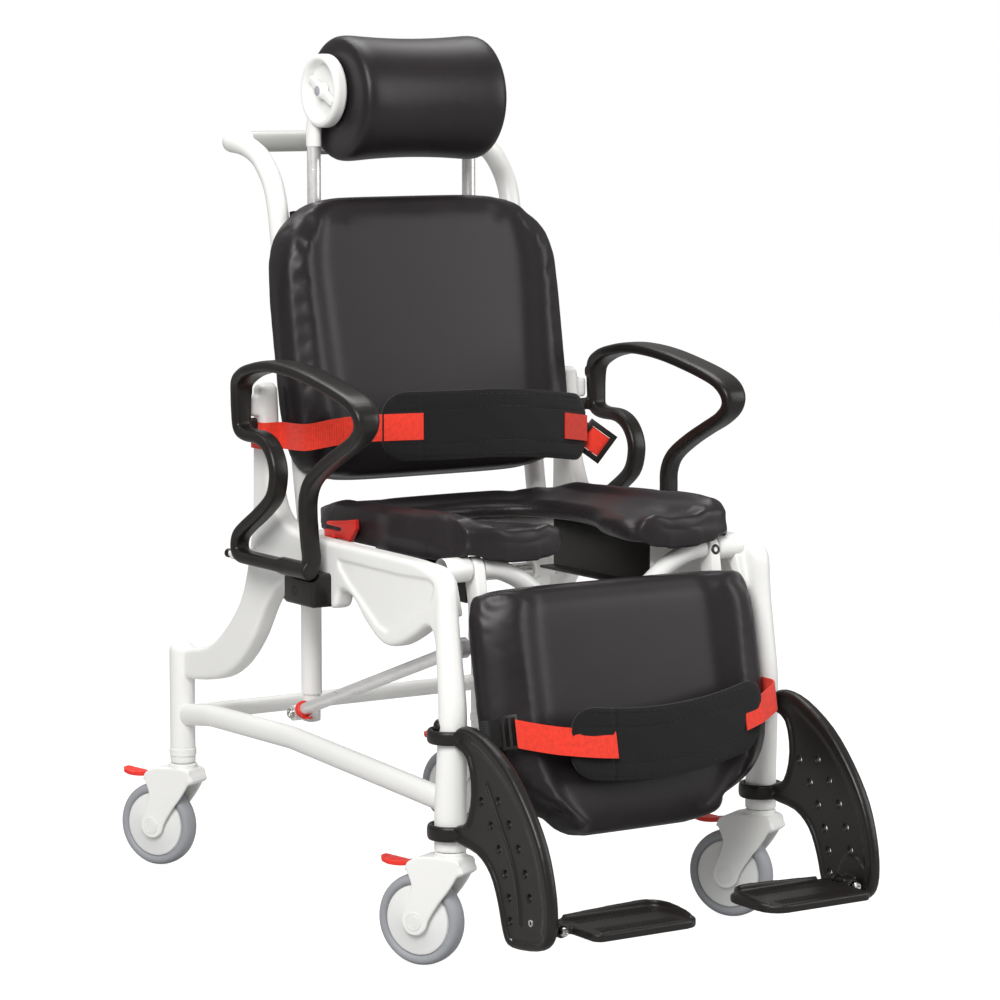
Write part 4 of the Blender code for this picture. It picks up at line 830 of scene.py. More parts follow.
CUP_IN, CUP_R = 0.1225, 0.051
HEAD_Y, HEAD_Z, HEAD_R = 0.289 + Y_MID, 1.152, 0.0905
CUP_Z, ROLL_END = HEAD_Z + 0.01, CUP_IN - 0.002
half_roll = [(HEAD_R - 0.0045 * (1 - (x / 0.0985) ** 2), x) for x in (0.0, 0.025, 0.05, 0.075, 0.0985)]
half_roll += [(HEAD_R - 0.012 * (1 - math.cos(t)), ROLL_END - 0.012 + 0.012 * math.sin(t))
              for t in (0.1, 0.4, 0.8, 1.2, 1.57)]
half_roll += [(0.04, ROLL_END - 0.001), (0.0, ROLL_END - 0.001)]
shell = turned(bmesh.new(), [(r, -x) for r, x in half_roll[:0:-1]] + half_roll,
               (0, HEAD_Y - 0.013, HEAD_Z - 0.001), X, 96)
shell = foam("head_roll", shell, 0.0042, lambda p: abs(p.x) > 0.11, 0.0025)
foam_pad("head_roll", shell, "headrest_pad", "headrest_roll")

# %% [markdown]
# ## Headrest fittings
#
# Two brushed tubes rise from the back. Each carries a white cup that clamps the roll's end, with a
# winged knob in a round recess and a grey cap in the knob's middle.

# %% Headrest fittings
TUBE_X, TUBE_Y = 0.133, 0.319 + Y_MID
STEM_Z = CUP_Z - CUP_R - 0.03
tubes = rod(bmesh.new(), (TUBE_X, TUBE_Y, 0.89), (TUBE_X, TUBE_Y, STEM_Z + 0.012), 0.01, 40)
turned(tubes, mm((10.1, 0), (10.18, 0.4), (10.18, 1.6), (10.1, 2)), (TUBE_X, TUBE_Y, 1.047), Z, 40)
pair("headrest_post", tubes, ALUMINIUM, "headrest_carrier", ["headrest_tube_{}"])

cup_profile = mm((6.5, 3), (36, 0), (49, 0), (53, 4), (53, 15.5), (51.5, 19.5), (48.5, 21.2), (45.5, 21.2),
                 (43, 20), (41.8, 17), (39.5, 7.5), (6.5, 7.5), (6.5, 3))
cup = turned(bmesh.new(), cup_profile, (CUP_IN, HEAD_Y, CUP_Z), X, 72)
stem = spline([(TUBE_X, TUBE_Y, STEM_Z), (TUBE_X, TUBE_Y, STEM_Z + 0.024),
               (TUBE_X, HEAD_Y + 0.027, CUP_Z - 0.045), (TUBE_X - 0.001, HEAD_Y + 0.025, CUP_Z - 0.041)], 6)
tube(cup, stem, 0.0105, 0.0135, 28, normal=X)
pair("headrest_cup_casting", cast(cup, 0.0011, 4), WHITE, "headrest_carrier", ["headrest_cup_{}"])

knob_x = CUP_IN + 0.0096
knob = turned(bmesh.new(), mm((0, 12.5), (7.5, 12.2), (10, 10.8), (11.2, 7), (12.5, 0), (0, 0)),
              (knob_x, HEAD_Y, CUP_Z), X, 40)
wing_way = Vector((0, -0.87, -0.5))
wing_up = Vector((0, 0.5, -0.87))
wing_points = mm((-36, -4.5), (-12, -6.5), (12, -6.5), (36, -4.5), (36, 4.5), (12, 6.5), (-12, 6.5),
                 (-36, 4.5))
wing = [wing_way * a + wing_up * b for a, b in wing_points]
plate(knob, [(p.y + HEAD_Y, p.z + CUP_Z) for p in wing], knob_x, knob_x + 0.0085, 0.0018)
rod(knob, (CUP_IN - 0.01, HEAD_Y, CUP_Z), (knob_x + 0.002, HEAD_Y, CUP_Z), 0.006, 24)
pair("headrest_knob_grip", cast(knob, 0.0008, 3), WHITE, "knob_{}", ["headrest_knob_{}"])
cap = turned(bmesh.new(), mm((0, 1.6), (5.5, 1.4), (7.2, 0.6), (7.6, -2)), (knob_x + 0.0121, HEAD_Y, CUP_Z),
             X, 32)
pair("headrest_knob_cap", cap, GREY, "knob_{}")
print("headrest done")

# %% [markdown]
# ## Armrests
#
# Each armrest is one closed loop of black plastic: a wide top for the forearm, a rounded nose, a
# front strut, a bar along the hinge and an S-shaped rear strut. It is a single closed sweep whose
# section widens along the top, with a thick hinge barrel melted on. The block under the barrel stays
# with the side plate and is hollowed so that the barrel can turn.

# %% Armrests
arm_points = mm((231.5, 706), (231.5, 738), (227.5, 753.5), (214, 763.5), (188, 773.5), (137, 782.5),
                (87, 782.5), (37, 777.5), (-11, 769), (-59, 758.5), (-95, 747), (-113.5, 731), (-112, 713),
                (-91, 696), (-53, 678), (-12, 657.5), (26, 633), (41.5, 608), (42.7, 578), (43.5, 545),
                (44.5, 521), (52, 507), (69, 504.5), (110, 504.5), (160, 504.5), (205, 504.5), (228.5, 506),
                (239, 515), (235, 533), (215.2, 548), (173, 572), (137, 597.6), (125.5, 624.9),
                (128, 647.3), (143.7, 668), (170, 679), (208, 680.5), (227.5, 687.5))
thick = [0.01] * 3 + [0.0092] + [0.0085] * 7 + [0.0098, 0.0098] + [0.0092] * 25
broad = [0.0135, 0.0145, 0.0165, 0.019] + [0.0218] * 6 + [0.021, 0.019, 0.0165, 0.0145] + [0.013] * 24
RINGS = 4
jog = {19: 0.003, 20: 0.006, 21: 0.006, 22: 0.003}
arm_line = spline([(ARM_X - jog.get(i, 0.0), y + Y_MID, z) for i, (y, z) in enumerate(arm_points)], RINGS,
                  closed=True)


def along(values):
    """One value per swept ring, eased between the points."""
    count = len(values)
    return [values[i] * (1 - k / RINGS) + values[(i + 1) % count] * k / RINGS
            for i in range(count) for k in range(RINGS)]


arm = tube(bmesh.new(), arm_line, along(broad), along(thick), 24, closed=True, normal=X, square=0.5)
rod(arm, point(ARM_X, 0.0365, ARM_PIN_Z), point(ARM_X, 0.116, ARM_PIN_Z), 0.0126, 32)
block(arm, point(0.2895, 0.224, 0.7335), point(ARM_X, 0.242, 0.748), 0.002)
block(arm, point(0.277, 0.232, 0.683), point(ARM_X, 0.24, 0.701), 0.002)
arm = cast(arm, 0.0018, 3)
pair("armrest_loop", arm, BLACK, "armrest_{}_arm", ["armrest_{}"])
foot = block(bmesh.new(), point(PLATE_OUT - 0.006, 0.0355, 0.453), point(0.3035, 0.1165, 0.5), 0.005)
foot = carved(foot, rod(bmesh.new(), (ARM_X, 0.0, ARM_PIN_Z), (ARM_X, 0.2, ARM_PIN_Z), 0.0153, 48))
turned(foot, mm((0, 1.4), (7, 1.2), (8.2, 0), (8.2, -2)), point(0.3033, 0.0865, 0.4715), X, 32)
pair("armrest_hinge_block", foot, BLACK, "base")
print("armrests done")

# %% [markdown]
# ## Calf rest, links and gas spring
#
# White hangers swing the calf pad from the front axle. A brushed rod runs from each back lever to
# a pin on the hanger, with a red quick-release clip at both ends.

# %% Calf hangers
LOBE = Vector(point(0, -0.2246, 0.427))
hanger = bmesh.new()
hang_line = []
for k in range(25):
    t = math.pi * k / 24
    hang_line.append(AXLE + HANG_OUT * (0.0165 * math.cos(t)) - HANG * (0.0165 * math.sin(t)))
rear_points = mm((0, -16.5), (45, -15), (75, -20), (103, -24), (131, -20), (165, -15), (240, -13),
                 (315, -12))
side_run = spline([AXLE + HANG * d + HANG_OUT * o for d, o in rear_points], 5)
foot_run = [AXLE + HANG * d + HANG_OUT * o for d, o in ((0.323, 0.0), (0.315, 0.015), (0.045, 0.015))]
plate(hanger, [(p.y, p.z) for p in hang_line + side_run[1:] + foot_run], 0.186, 0.202, 0.003)
hanger = carved(hanger, rod(bmesh.new(), (0.15, AXLE_Y, AXLE_Z), (0.25, AXLE_Y, AXLE_Z), 0.0096, 36))
rod(hanger, (0.19, LOBE.y, LOBE.z), (LINK_X + 0.0075, LOBE.y, LOBE.z), 0.0055, 24)
pair("calf_hanger_arm", hanger, WHITE, "calf_rest", ["calf_hanger_{}"],
     crease=math.radians(30))
screws = bolt(bmesh.new(), (LINK_X + 0.0078, LOBE.y, LOBE.z), X, 0.0078, 0.004)
pair("calf_hanger_screw", screws, STEEL, "calf_rest")
face = AXLE + HANG * 0.004 + HANG_OUT * 0.0148
stop = bolt(bmesh.new(), (0.194, face.y, face.z), HANG_OUT, 0.0072, 0.003)
piece("calf_hanger_stop", stop, BLACK, "calf_rest")

# %% Link rods and their clips
A = Vector((LINK_X, BACK_Y, LEVER_Z))
B = Vector((LINK_X, LOBE.y, LOBE.z))
run_to = (B - A).normalized()
link = rod(bmesh.new(), A + run_to * 0.013, B - run_to * 0.016, 0.009, 36)
for spot, bore, rim in ((A, 0.006, 0.0115), (B, 0.0085, 0.014)):
    turned(link, [(bore, -0.0075), (rim - 0.001, -0.0075), (rim, -0.0065), (rim, 0.0055),
                  (rim - 0.001, 0.0065), (bore, 0.0065), (bore, -0.0075)], spot, X, 40)
pair("link_rod_bar", link, ALUMINIUM, "link_rods", ["link_rod_{}"])
clips = bmesh.new()
for spot, way in ((A + run_to * 0.024, 1), (B - run_to * 0.026, -1)):
    up = X.cross(run_to).normalized()
    arc = []
    for k in range(17):
        t = math.radians(-60 + 300 * k / 16)
        arc.append(spot + X * (0.0108 * math.sin(t)) + up * (0.0108 * math.cos(t) * way))
    tube(clips, arc, 0.005, 0.0018, 12, normal=run_to, square=0.7)
    tab = [spot + up * way * 0.0105 - run_to * way * 0.004, spot + up * way * 0.0135 + run_to * way * 0.004,
           spot + up * way * 0.015 + run_to * way * 0.014]
    tube(clips, spline(tab, 4), 0.0045, 0.0015, 12, normal=X, square=0.7)
pair("link_clip", clips, RED, "link_rods")

# %% Gas spring and pan rails
piece("spring_cylinder", twin("gas_spring_cylinder"), BLACK, "base", "gas_spring_cylinder",
      crease=math.radians(50))
piece("spring_piston", twin("gas_spring_rod"), STEEL, "spring_rod", "gas_spring_rod",
      crease=math.radians(50))
for side in ("left", "right"):
    rail = twin("pan_rail_" + side)
    rounded(rail, [e for e in rail.edges if e.calc_face_angle(0) > 0.6], 0.0009, 2, clamp=True)
    piece("pan_rail_rib_" + side, rail, BLACK, "base", "pan_rail_" + side)
print("calf rest, links and rails done")

# %% [markdown]
# ## Foot brackets and footplates
#
# A curved black plate swings on two rings round each front leg. Its edge is a rolled rim, and on
# the outside a raised rib splits two rows of holes that set the height. The hole rows are cut
# first, then rim, rib and rings are melted on. The footplate is a shallow tray with a heel wall,
# fine grip ribs and hinge knuckles.

# %% Foot brackets
FOOT_X, FOOT_PIN_X, FOOT_PIN_Z = 0.262, 0.238, 0.096
bracket_points = mm((-276, 326), (-300, 336), (-345, 328), (-402, 298), (-448, 255), (-482, 208),
                    (-500, 160), (-506, 118), (-500, 88), (-480, 72), (-440, 64), (-406, 64), (-392, 82),
                    (-380, 118), (-362, 150), (-330, 170), (-276, 178), (-276, 198), (-303, 210),
                    (-316, 250), (-306, 292), (-276, 306))
hole_rows = (mm((-379, 250), (-405, 224), (-427, 196), (-443, 166), (-453, 136)),
             mm((-338, 243), (-362, 215), (-381, 187), (-396, 157), (-405, 127), (-408, 97)))
loop_line = on_side(bracket_points, 3)
bracket = plate(bmesh.new(), loop_line, FOOT_X - 0.0045, FOOT_X + 0.0042, 0.0015)
drill = bmesh.new()
for row in hole_rows:
    for y, z in row:
        rod(drill, point(FOOT_X - 0.03, y, z), point(FOOT_X + 0.03, y, z), 0.0052, 20)
bracket = carved(bracket, drill)


def inset_line(line, amount):
    """The closed outline moved inwards, in the bracket's plane."""
    pts = [Vector((FOOT_X, y, z)) for y, z in line]
    moved = []
    for i, p in enumerate(pts):
        d = (pts[(i + 1) % len(pts)] - pts[i - 1]).normalized()
        moved.append(p + Vector((0, -d.z, d.y)) * amount)
    return moved


rim_line = inset_line(loop_line, 0.0055)
tube(bracket, rim_line, 0.0085, 0.0055, 14, closed=True, normal=X, square=0.85)
front_points = mm((-318, 322), (-341, 317.5), (-396, 288), (-440, 248), (-472, 203), (-489, 157),
                  (-495, 118), (-490, 93))
front_rim = spline([point(FOOT_X, y, z) for y, z in front_points], 5)
tube(bracket, front_rim, 0.0082, 0.011, 16, normal=X, square=0.85)
rib_points = mm((-352, 268), (-384, 220), (-404, 191), (-420, 161), (-429, 131), (-433, 96))
rib = spline([point(FOOT_X + 0.0038, y, z) for y, z in rib_points], 5)
tube(bracket, rib, 0.004, 0.0024, 12, normal=X)
for low, high in ((0.306, 0.326), (0.176, 0.198)):
    mid, half = (low + high) / 2, (high - low) / 2
    ring = []
    for k in range(48):
        t = 2 * math.pi * k / 48
        ring.append((LEG_X + 0.0275 * math.cos(t), LEG_Y + 0.0275 * math.sin(t), mid))
    tube(bracket, ring, half, 0.0042, 14, closed=True, normal=Z, square=0.75)
block(bracket, point(FOOT_PIN_X - 0.0065, -0.474, FOOT_PIN_Z - 0.012),
      point(FOOT_X, -0.452, FOOT_PIN_Z + 0.0075), 0.003)
turns = [math.pi * k / 16 for k in range(17)]
boss = [(-0.463 + Y_MID + 0.031 * math.cos(t), 0.1 + 0.031 * math.sin(t)) for t in turns]
plate(bracket, boss, FOOT_X - 0.0105, FOOT_X, 0.0015)
rod(bracket, point(FOOT_PIN_X, -0.492, FOOT_PIN_Z), point(FOOT_PIN_X, -0.428, FOOT_PIN_Z), 0.0044, 24)
bracket = cast(bracket, 0.0016, 3)
print("foot bracket:", len(bracket.faces), "faces")
pair("foot_bracket_arm", bracket, BLACK, "foot_{}", ["foot_bracket_{}"])
rivets = bmesh.new()
for y, z in ((-0.458, 0.104), (-0.411, 0.07)):
    turned(rivets, mm((2.6, 0.2), (3, 1.2), (4.6, 1.2), (5.2, 0), (5.2, -2)), point(FOOT_X + 0.0046, y, z),
           X, 28)
bolt(rivets, point(FOOT_PIN_X, -0.492, FOOT_PIN_Z), (0, -1, 0), 0.0062, 0.004)
pair("foot_bracket_rivet", rivets, STEEL, "foot_{}")

# %% Footplates
tray_x0, tray_x1 = FOOT_PIN_X - 0.184, FOOT_PIN_X - 0.014
tray_y0, tray_y1 = -0.546 + Y_MID, -0.44 + Y_MID
tray = bmesh.new()
outline = []
for cx, cy, r, a0 in ((tray_x1 - 0.01, tray_y1 - 0.01, 0.01, 0),
                      (tray_x0 + 0.022, tray_y1 - 0.022, 0.022, 90),
                      (tray_x0 + 0.03, tray_y0 + 0.03, 0.03, 180),
                      (tray_x1 - 0.012, tray_y0 + 0.012, 0.012, 270)):
    for k in range(9):
        t = math.radians(a0 + 90 * k / 8)
        outline.append((cx + r * math.cos(t), cy + r * math.sin(t)))
raised(tray, [(x, y, FOOT_PIN_Z - 0.006) for x, y in outline], (0, 0, 0.01))
wall = spline([(tray_x1 - 0.016, tray_y1 - 0.0035, FOOT_PIN_Z + 0.002),
               (tray_x0 + 0.05, tray_y1 - 0.0035, FOOT_PIN_Z + 0.006),
               (tray_x0 + 0.016, tray_y1 - 0.008, FOOT_PIN_Z + 0.006),
               (tray_x0 + 0.004, tray_y1 - 0.03, FOOT_PIN_Z + 0.005),
               (tray_x0 + 0.0035, tray_y0 + 0.04, FOOT_PIN_Z + 0.002),
               (tray_x0 + 0.01, tray_y0 + 0.016, FOOT_PIN_Z + 0.0)], 6)
tube(tray, wall, 0.0075, 0.0028, 14, normal=Z, square=0.8)
lip = [(tray_x0 + 0.02, tray_y0 + 0.0035, FOOT_PIN_Z + 0.001),
       (tray_x1 - 0.008, tray_y0 + 0.0035, FOOT_PIN_Z + 0.001)]
tube(tray, lip, 0.004, 0.003, 12, normal=Z)
for y0, y1 in ((-0.489, -0.4745), (-0.4515, -0.44)):
    turned(tray, [(0.0056, 0.0), (0.0085, 0.0), (0.0095, 0.001), (0.0095, y1 - y0 - 0.001),
                  (0.0085, y1 - y0), (0.0056, y1 - y0), (0.0056, 0.0)], point(FOOT_PIN_X, y0, FOOT_PIN_Z),
           Y, 28)
    block(tray, point(tray_x1 - 0.01, y0, FOOT_PIN_Z - 0.0055),
          point(FOOT_PIN_X - 0.0062, y1, FOOT_PIN_Z + 0.0045), 0.0015)
tray = cast(tray, 0.0015, 3)
pair("footplate_tray", tray, BLACK, "tray_{}", ["footplate_{}"])
ribs = bmesh.new()
for k in range(22):
    x = tray_x0 + 0.03 + k * 0.0057
    for y0, y1 in ((tray_y0 + 0.014, tray_y0 + 0.034), (tray_y1 - 0.036, tray_y1 - 0.014)):
        tube(ribs, [(x, y0, FOOT_PIN_Z + 0.0041), (x, y1, FOOT_PIN_Z + 0.0041)], 0.0007, 0.001, 6, normal=Z)
pair("footplate_grip", ribs, BLACK, "tray_{}")
print("footrests done")

# %% [markdown]
# ## Casters
#
# A smooth white hood flows into two teardrop arms that cover the hub. The wheel is one turned piece
# with two finishes: a white core and a soft grey tyre, split by a dark joint line. A red brake
# pedal sticks out behind. All are modelled once round a swivel at the origin, then placed at the
# four corners with the turn they rest at.

# %% Fork, wheel and pedal
TRAIL, WHEEL_R, CASTER_TURN = 0.045, 0.0625, math.radians(27)
arm_outline = mm((-24.5, 150), (-22.5, 132), (-10, 111), (8, 88), (21.5, 67), (26.5, 53.5), (35, 45.5),
                 (45, 43), (55, 45.5), (62.5, 54.5), (64, 66), (59, 80), (52, 96), (49, 112), (54.5, 127),
                 (58, 137), (52, 145), (34, 152), (0, 153.5))
arm_curve = flowing(arm_outline, 4)
caster = bmesh.new()
for s in (-1, 1):
    plate(caster, arm_curve, s * 0.017, s * 0.0225, 0.0018)
hood = mm((-24.5, 129.5), (-24.5, 147), (-16, 153.5), (32, 152.5), (53, 144.5), (58, 137), (54.5, 129.5))
plate(caster, flowing(hood, 3), -0.0225, 0.0225, 0.0045)
turned(caster, mm((0, 140), (20.5, 140), (21.5, 154.5), (21.5, 158.5), (20.5, 159.7), (0, 159.7)),
       (0, 0, 0), Z, 40)
rod(caster, (-0.0235, TRAIL, WHEEL_R), (0.0235, TRAIL, WHEEL_R), 0.006, 28)
slot_cut = block(bmesh.new(), (-0.0092, 0.0435, 0.1265), (0.0092, 0.09, 0.16))
caster = cast(carved(cast(caster, 0.0011, 3), slot_cut), 0.0011, 2)
hub_disc = bmesh.new()
for s in (-1, 1):
    turned(hub_disc, mm((0, 1), (8.5, 1), (9.2, 0.4), (9.8, 1), (12.5, 0.8), (13.5, -1)),
           (s * 0.0225, TRAIL, WHEEL_R), (s, 0, 0), 40)
half_profile = mm((6.6, 15.5), (15, 15.5), (16.5, 14.3), (44, 13.2), (46.8, 12.2), (47.8, 10), (48.8, 10),
                  (49.6, 12.4), (52, 14.2), (56, 14.6), (59.2, 12.8), (61.4, 9), (62.3, 4.5), (62.5, 0))
wheel = turned(bmesh.new(), half_profile + [(r, -h) for r, h in half_profile[-2::-1]] + [half_profile[0]],
               (0, TRAIL, WHEEL_R), X, 72)
for f in wheel.faces:
    c = f.calc_center_median() - Vector((0, TRAIL, WHEEL_R))
    f.material_index = 1 if math.hypot(c.y, c.z) > 0.0478 else 0
pedal_plan = mm((-8.2, 56), (8.2, 56), (8.5, 70), (10.5, 80), (12.5, 92), (11, 101), (6, 105.5), (0, 106.2),
                (-6, 105.5), (-11, 101), (-12.5, 92), (-10.5, 80), (-8.5, 70))
pedal = bmesh.new()
raised(pedal, [(x, y, 0.1345) for x, y in pedal_plan], (0, 0, 0.0068))
bmesh.ops.subdivide_edges(pedal, edges=pedal.edges[:], cuts=2, use_grid_fill=True)
for v in pedal.verts:
    along_y = max(0.0, (v.co.y - 0.064) / 0.042)
    v.co.z += 0.0035 * along_y ** 2 - 0.0028 * math.sin(math.pi * min(1.0, along_y))
rod(pedal, (-0.015, 0.058, 0.1385), (0.015, 0.058, 0.1385), 0.0029, 16)
pedal = cast(pedal, 0.0009, 3)
print("caster:", len(caster.faces), "faces; wheel:", len(wheel.faces))

# %% Place the four casters
corners = {"front_right": (-LEG_X, LEG_Y), "front_left": (LEG_X, LEG_Y), "rear_right": (-POST_X, POST_Y),
           "rear_left": (POST_X, POST_Y)}
for corner, (x, y) in corners.items():
    spot = Matrix.Translation((x, y, 0)) @ Matrix.Rotation(CASTER_TURN, 4, "Z")
    for shape, name, mats, body, stands, slot in (
            (caster, "caster_hood", WHITE, "caster_", "caster_fork_", "white_coat"),
            (hub_disc, "caster_hub_disc", CORE, "caster_", None, "white_coat"),
            (wheel, "caster_tyre_wheel", [CORE, TYRE], "wheel_", "caster_wheel_", "wheel"),
            (pedal, "caster_brake", RED, "brake_", "brake_pedal_", "red_moulding")):
        copy = shape.copy()
        bmesh.ops.transform(copy, matrix=spot, verts=copy.verts[:])
        piece(f"{name}_{corner}", copy, mats, body + corner, stands + corner if stands else ())
print("casters placed:", len(corners))

# %% [markdown]
# ## Belts
#
# A belt is a quilted black pad with red webbing sewn to both ends. Webbing is a flat grid laid along
# a path and given its thickness, with a UV map in metres so the weave keeps its scale. The pad is a
# thicker grid whose edges thin out into a bound rim, with rows of stitches on top.


# %% Webbing
WEB_WIDE, WEB_THIN, CLOTH_CREASE = 0.038, 0.0018, math.radians(60)


def webbing(bm, path, tall=WEB_WIDE, thin=WEB_THIN, rows=8, lean=Z):
    """A strap along a path, its width along lean, with UVs in metres. Gives its length too."""
    pts = [Vector(p) for p in path]
    uv = bm.loops.layers.uv.verify()
    lengths = [0.0]
    for a, b in zip(pts, pts[1:]):
        lengths.append(lengths[-1] + (b - a).length)
    grid = bmesh.ops.create_grid(bm, x_segments=len(pts) - 1, y_segments=rows, size=1.0,
                                 calc_uvs=True)["verts"]
    faces = list({f for v in grid for f in v.link_faces})
    for f in faces:
        for loop in f.loops:
            column = round((loop.vert.co.x + 1) / 2 * (len(pts) - 1))
            loop[uv].uv = (lengths[column], (loop.vert.co.y + 1) / 2 * tall)
    for v in grid:
        i = round((v.co.x + 1) / 2 * (len(pts) - 1))
        v.co = pts[i] + lean * (v.co.y * tall / 2)
    bmesh.ops.recalc_face_normals(bm, faces=faces)
    bmesh.ops.solidify(bm, geom=faces, thickness=thin)
    return bm, lengths[-1]


def red_strap(name, path, body, node, lean=Z):
    """A run of red webbing as a piece. Gives its length."""
    web, length = webbing(bmesh.new(), spline(path, 3), lean=lean)
    piece(name, web, RED_WEB, body, node, crease=CLOTH_CREASE)
    return length


def offset_path(points, amount):
    """The path moved sideways, level, to its right."""
    pts = [Vector(p) for p in points]
    moved = []
    for i, p in enumerate(pts):
        d = pts[min(i + 1, len(pts) - 1)] - pts[max(i - 1, 0)]
        moved.append(p + Vector((d.y, -d.x, 0)).normalized() * amount)
    return moved


# %% Belt pad and stitches
def belt_pad(path, seam, tall=0.098, thick_mid=0.0085, corner=0.036):
    """A quilted pad along a path: bound edge, rounded corners, two sewn lines and one cross seam."""
    bm = bmesh.new()
    pts = [Vector(p) for p in path]
    count = len(pts) - 1
    uv = bm.loops.layers.uv.verify()
    runs = [0.0]
    for a, b in zip(pts, pts[1:]):
        runs.append(runs[-1] + (b - a).length)
    length = runs[-1]
    sides = offset_path(pts, 1.0)
    made = bmesh.ops.create_grid(bm, x_segments=count, y_segments=36, size=1.0, calc_uvs=True)["verts"]
    grown = bmesh.ops.extrude_face_region(bm, geom=list({f for v in made for f in v.link_faces}))["geom"]
    for g in grown:
        if isinstance(g, bmesh.types.BMVert):
            g.co.z = 1.0
    for f in bm.faces:
        for loop in f.loops:
            loop[uv].uv = ((loop.vert.co.x + 1) / 2 * length, (loop.vert.co.y + 1) / 2 * tall)
    for v in bm.verts:
        w, front = v.co.y, v.co.z
        i = round((v.co.x + 1) / 2 * count)
        to_end = min(runs[i], length - runs[i])
        bite = max(0.0, 1 - to_end / corner)
        half = tall / 2 - corner * (1 - math.sqrt(max(0.0, 1 - bite ** 2)))
        to_edge = min((1 - abs(w)) * half, to_end + 0.0005)
        body = thick_mid / 2 * (0.42 + 0.58 * ease(to_edge / 0.01))
        body += 0.0011 * math.exp(-((to_edge - 0.003) / 0.0022) ** 2)
        for line in (0.5, -0.5):
            body -= 0.0007 * math.exp(-((w - line) * half / 0.0016) ** 2) * (1 if to_edge > 0.012 else 0)
        body -= 0.0012 * math.exp(-((pts[i].x - seam) / 0.0016) ** 2)
        body += 0.0004 * math.sin(runs[i] * 63) * math.sin(w * 5 + runs[i] * 21) * ease(to_edge / 0.02)
        side = sides[i] - pts[i]
        v.co = pts[i] + Vector((0, 0, w * half)) + side * ((1 if front else -1) * body)
    return bm, length


def quilt(name, path, seam, body, node):
    """A belt pad as a padded piece. Gives its length."""
    bm, length = belt_pad(path, seam)
    piece(name, bm, BELT, body, node, crease=CLOTH_CREASE)
    return length


def stitches(bm, path, step=0.0062, long=0.0042):
    """A row of thread stitches along a path."""
    pts = [Vector(p) for p in path]
    carry = 0.0
    for a, b in zip(pts, pts[1:]):
        d = b - a
        while carry + long < d.length:
            p = a + d.normalized() * carry
            tube(bm, [p, p + d.normalized() * long], 0.00042, sides=5)
            carry += step
        carry = max(0.0, carry - d.length)
    return bm


# %% Lap belt
BELT_END = 0.243 - 0.0003 - 0.0011


def belt_point(x):
    """A point on the lap belt's line."""
    t = abs(x) / BELT_END
    drop = 0.0175 * t ** 6 if x < 0 else 0.03 * t ** 1.6
    back = 0.09 * t ** 2 if x < 0 else 0.082 * t ** 2
    return Vector((x, 0.062 + back + Y_MID, 0.6925 - drop))


def belt_run(x0, x1, steps):
    """The lap belt's line between two places across the chair."""
    return [belt_point(x0 + (x1 - x0) * i / steps) for i in range(steps + 1)]


lap_long = quilt("lap_belt_quilt", belt_run(-0.154, 0.21, 150), -0.099, "base", "lap_belt_pad")
right_web = offset_path(belt_run(-0.098, -0.146, 14), -0.005)
right_web += offset_path(belt_run(-0.152, -0.16, 2), -0.003)
right_web += belt_run(-0.172, -0.2, 6)
post_z = belt_point(-BELT_END).z
to_post = mm((216, 136, 683.5), (230, 147.5, 679.5), (239.5, 162, 676.5), (242.5, 180, 675.5),
             (243, 200, 675), (244.5, 214, 675))
round_post = mm((249, 221.2), (258, 221.8), (270, 222.5), (275.5, 229), (275.8, 244), (275, 257.5),
                (269, 262.5), (250, 263), (241.8, 257))
right_web += [Vector(point(-x, y, z)) for x, y, z in to_post]
right_web += [Vector(point(-x, y, post_z)) for x, y in round_post]
right_long = red_strap("lap_web_right", right_web, "base", "lap_strap_right")
buckle_at = Vector(point(0.225, 0.118, 0.649))
left_web = offset_path(belt_run(0.15, 0.206, 12), 0.0052) + [belt_point(0.2105), belt_point(0.2135)]
left_long = red_strap("lap_web_left", left_web, "base", "lap_strap_left")
print(f"lap belt: pad {lap_long:.3f} m, red straps {right_long:.3f} and {left_long:.3f} m")

# %% Lap buckle
def slot_ring(bm, centre, wide_y, tall, thin, bars, turn, rim=0.0042):
    """A flat plastic loop with a slot, or two with a middle bar, standing in the YZ plane."""
    body = plate(bmesh.new(), [(-wide_y / 2, -tall / 2), (wide_y / 2, -tall / 2), (wide_y / 2, tall / 2),
                               (-wide_y / 2, tall / 2)], -thin / 2, thin / 2, 0.001, 2)
    cuts = bmesh.new()
    room = (wide_y - rim * (bars + 1)) / bars
    for k in range(bars):
        y0 = -wide_y / 2 + rim + k * (room + rim)
        block(cuts, (-0.02, y0, -tall / 2 + rim), (0.02, y0 + room, tall / 2 - rim))
    body = carved(body, cuts)
    bmesh.ops.transform(body, matrix=Matrix.Translation(centre) @ turn, verts=body.verts[:])
    mesh = bpy.data.meshes.new("ring")
    body.to_mesh(mesh)
    body.free()
    bm.from_mesh(mesh)
    bpy.data.meshes.remove(mesh)
    return bm


face_on = Matrix((Vector((0.543, 0.84, 0)), Vector((-0.84, 0.543, 0)), Z)).transposed().to_4x4()
loop_turn = face_on @ Matrix.Rotation(math.radians(36), 4, "X")
ring = slot_ring(bmesh.new(), buckle_at, 0.047, 0.049, 0.006, 1, loop_turn, 0.0078)
piece("lap_loop", ring, BLACK, "base", "lap_buckle")
loop_axes = loop_turn.to_3x3()
loop_points = mm((34, 4), (20, 2), (0, 0), (-14, 1), (-19, 4.5))
through = [buckle_at + loop_axes @ Vector((depth, run, 0)) for run, depth in loop_points]
tail_path = spline([buckle_at + Vector((0.0, 0.01, -0.004)), buckle_at + Vector((0.006, 0.018, -0.004)),
                    point(0.238, 0.18, 0.668), point(0.2405, 0.23, 0.678), point(0.2408, 0.252, 0.68)], 6)
web, _ = webbing(bmesh.new(), tail_path, 0.03, 0.0016)
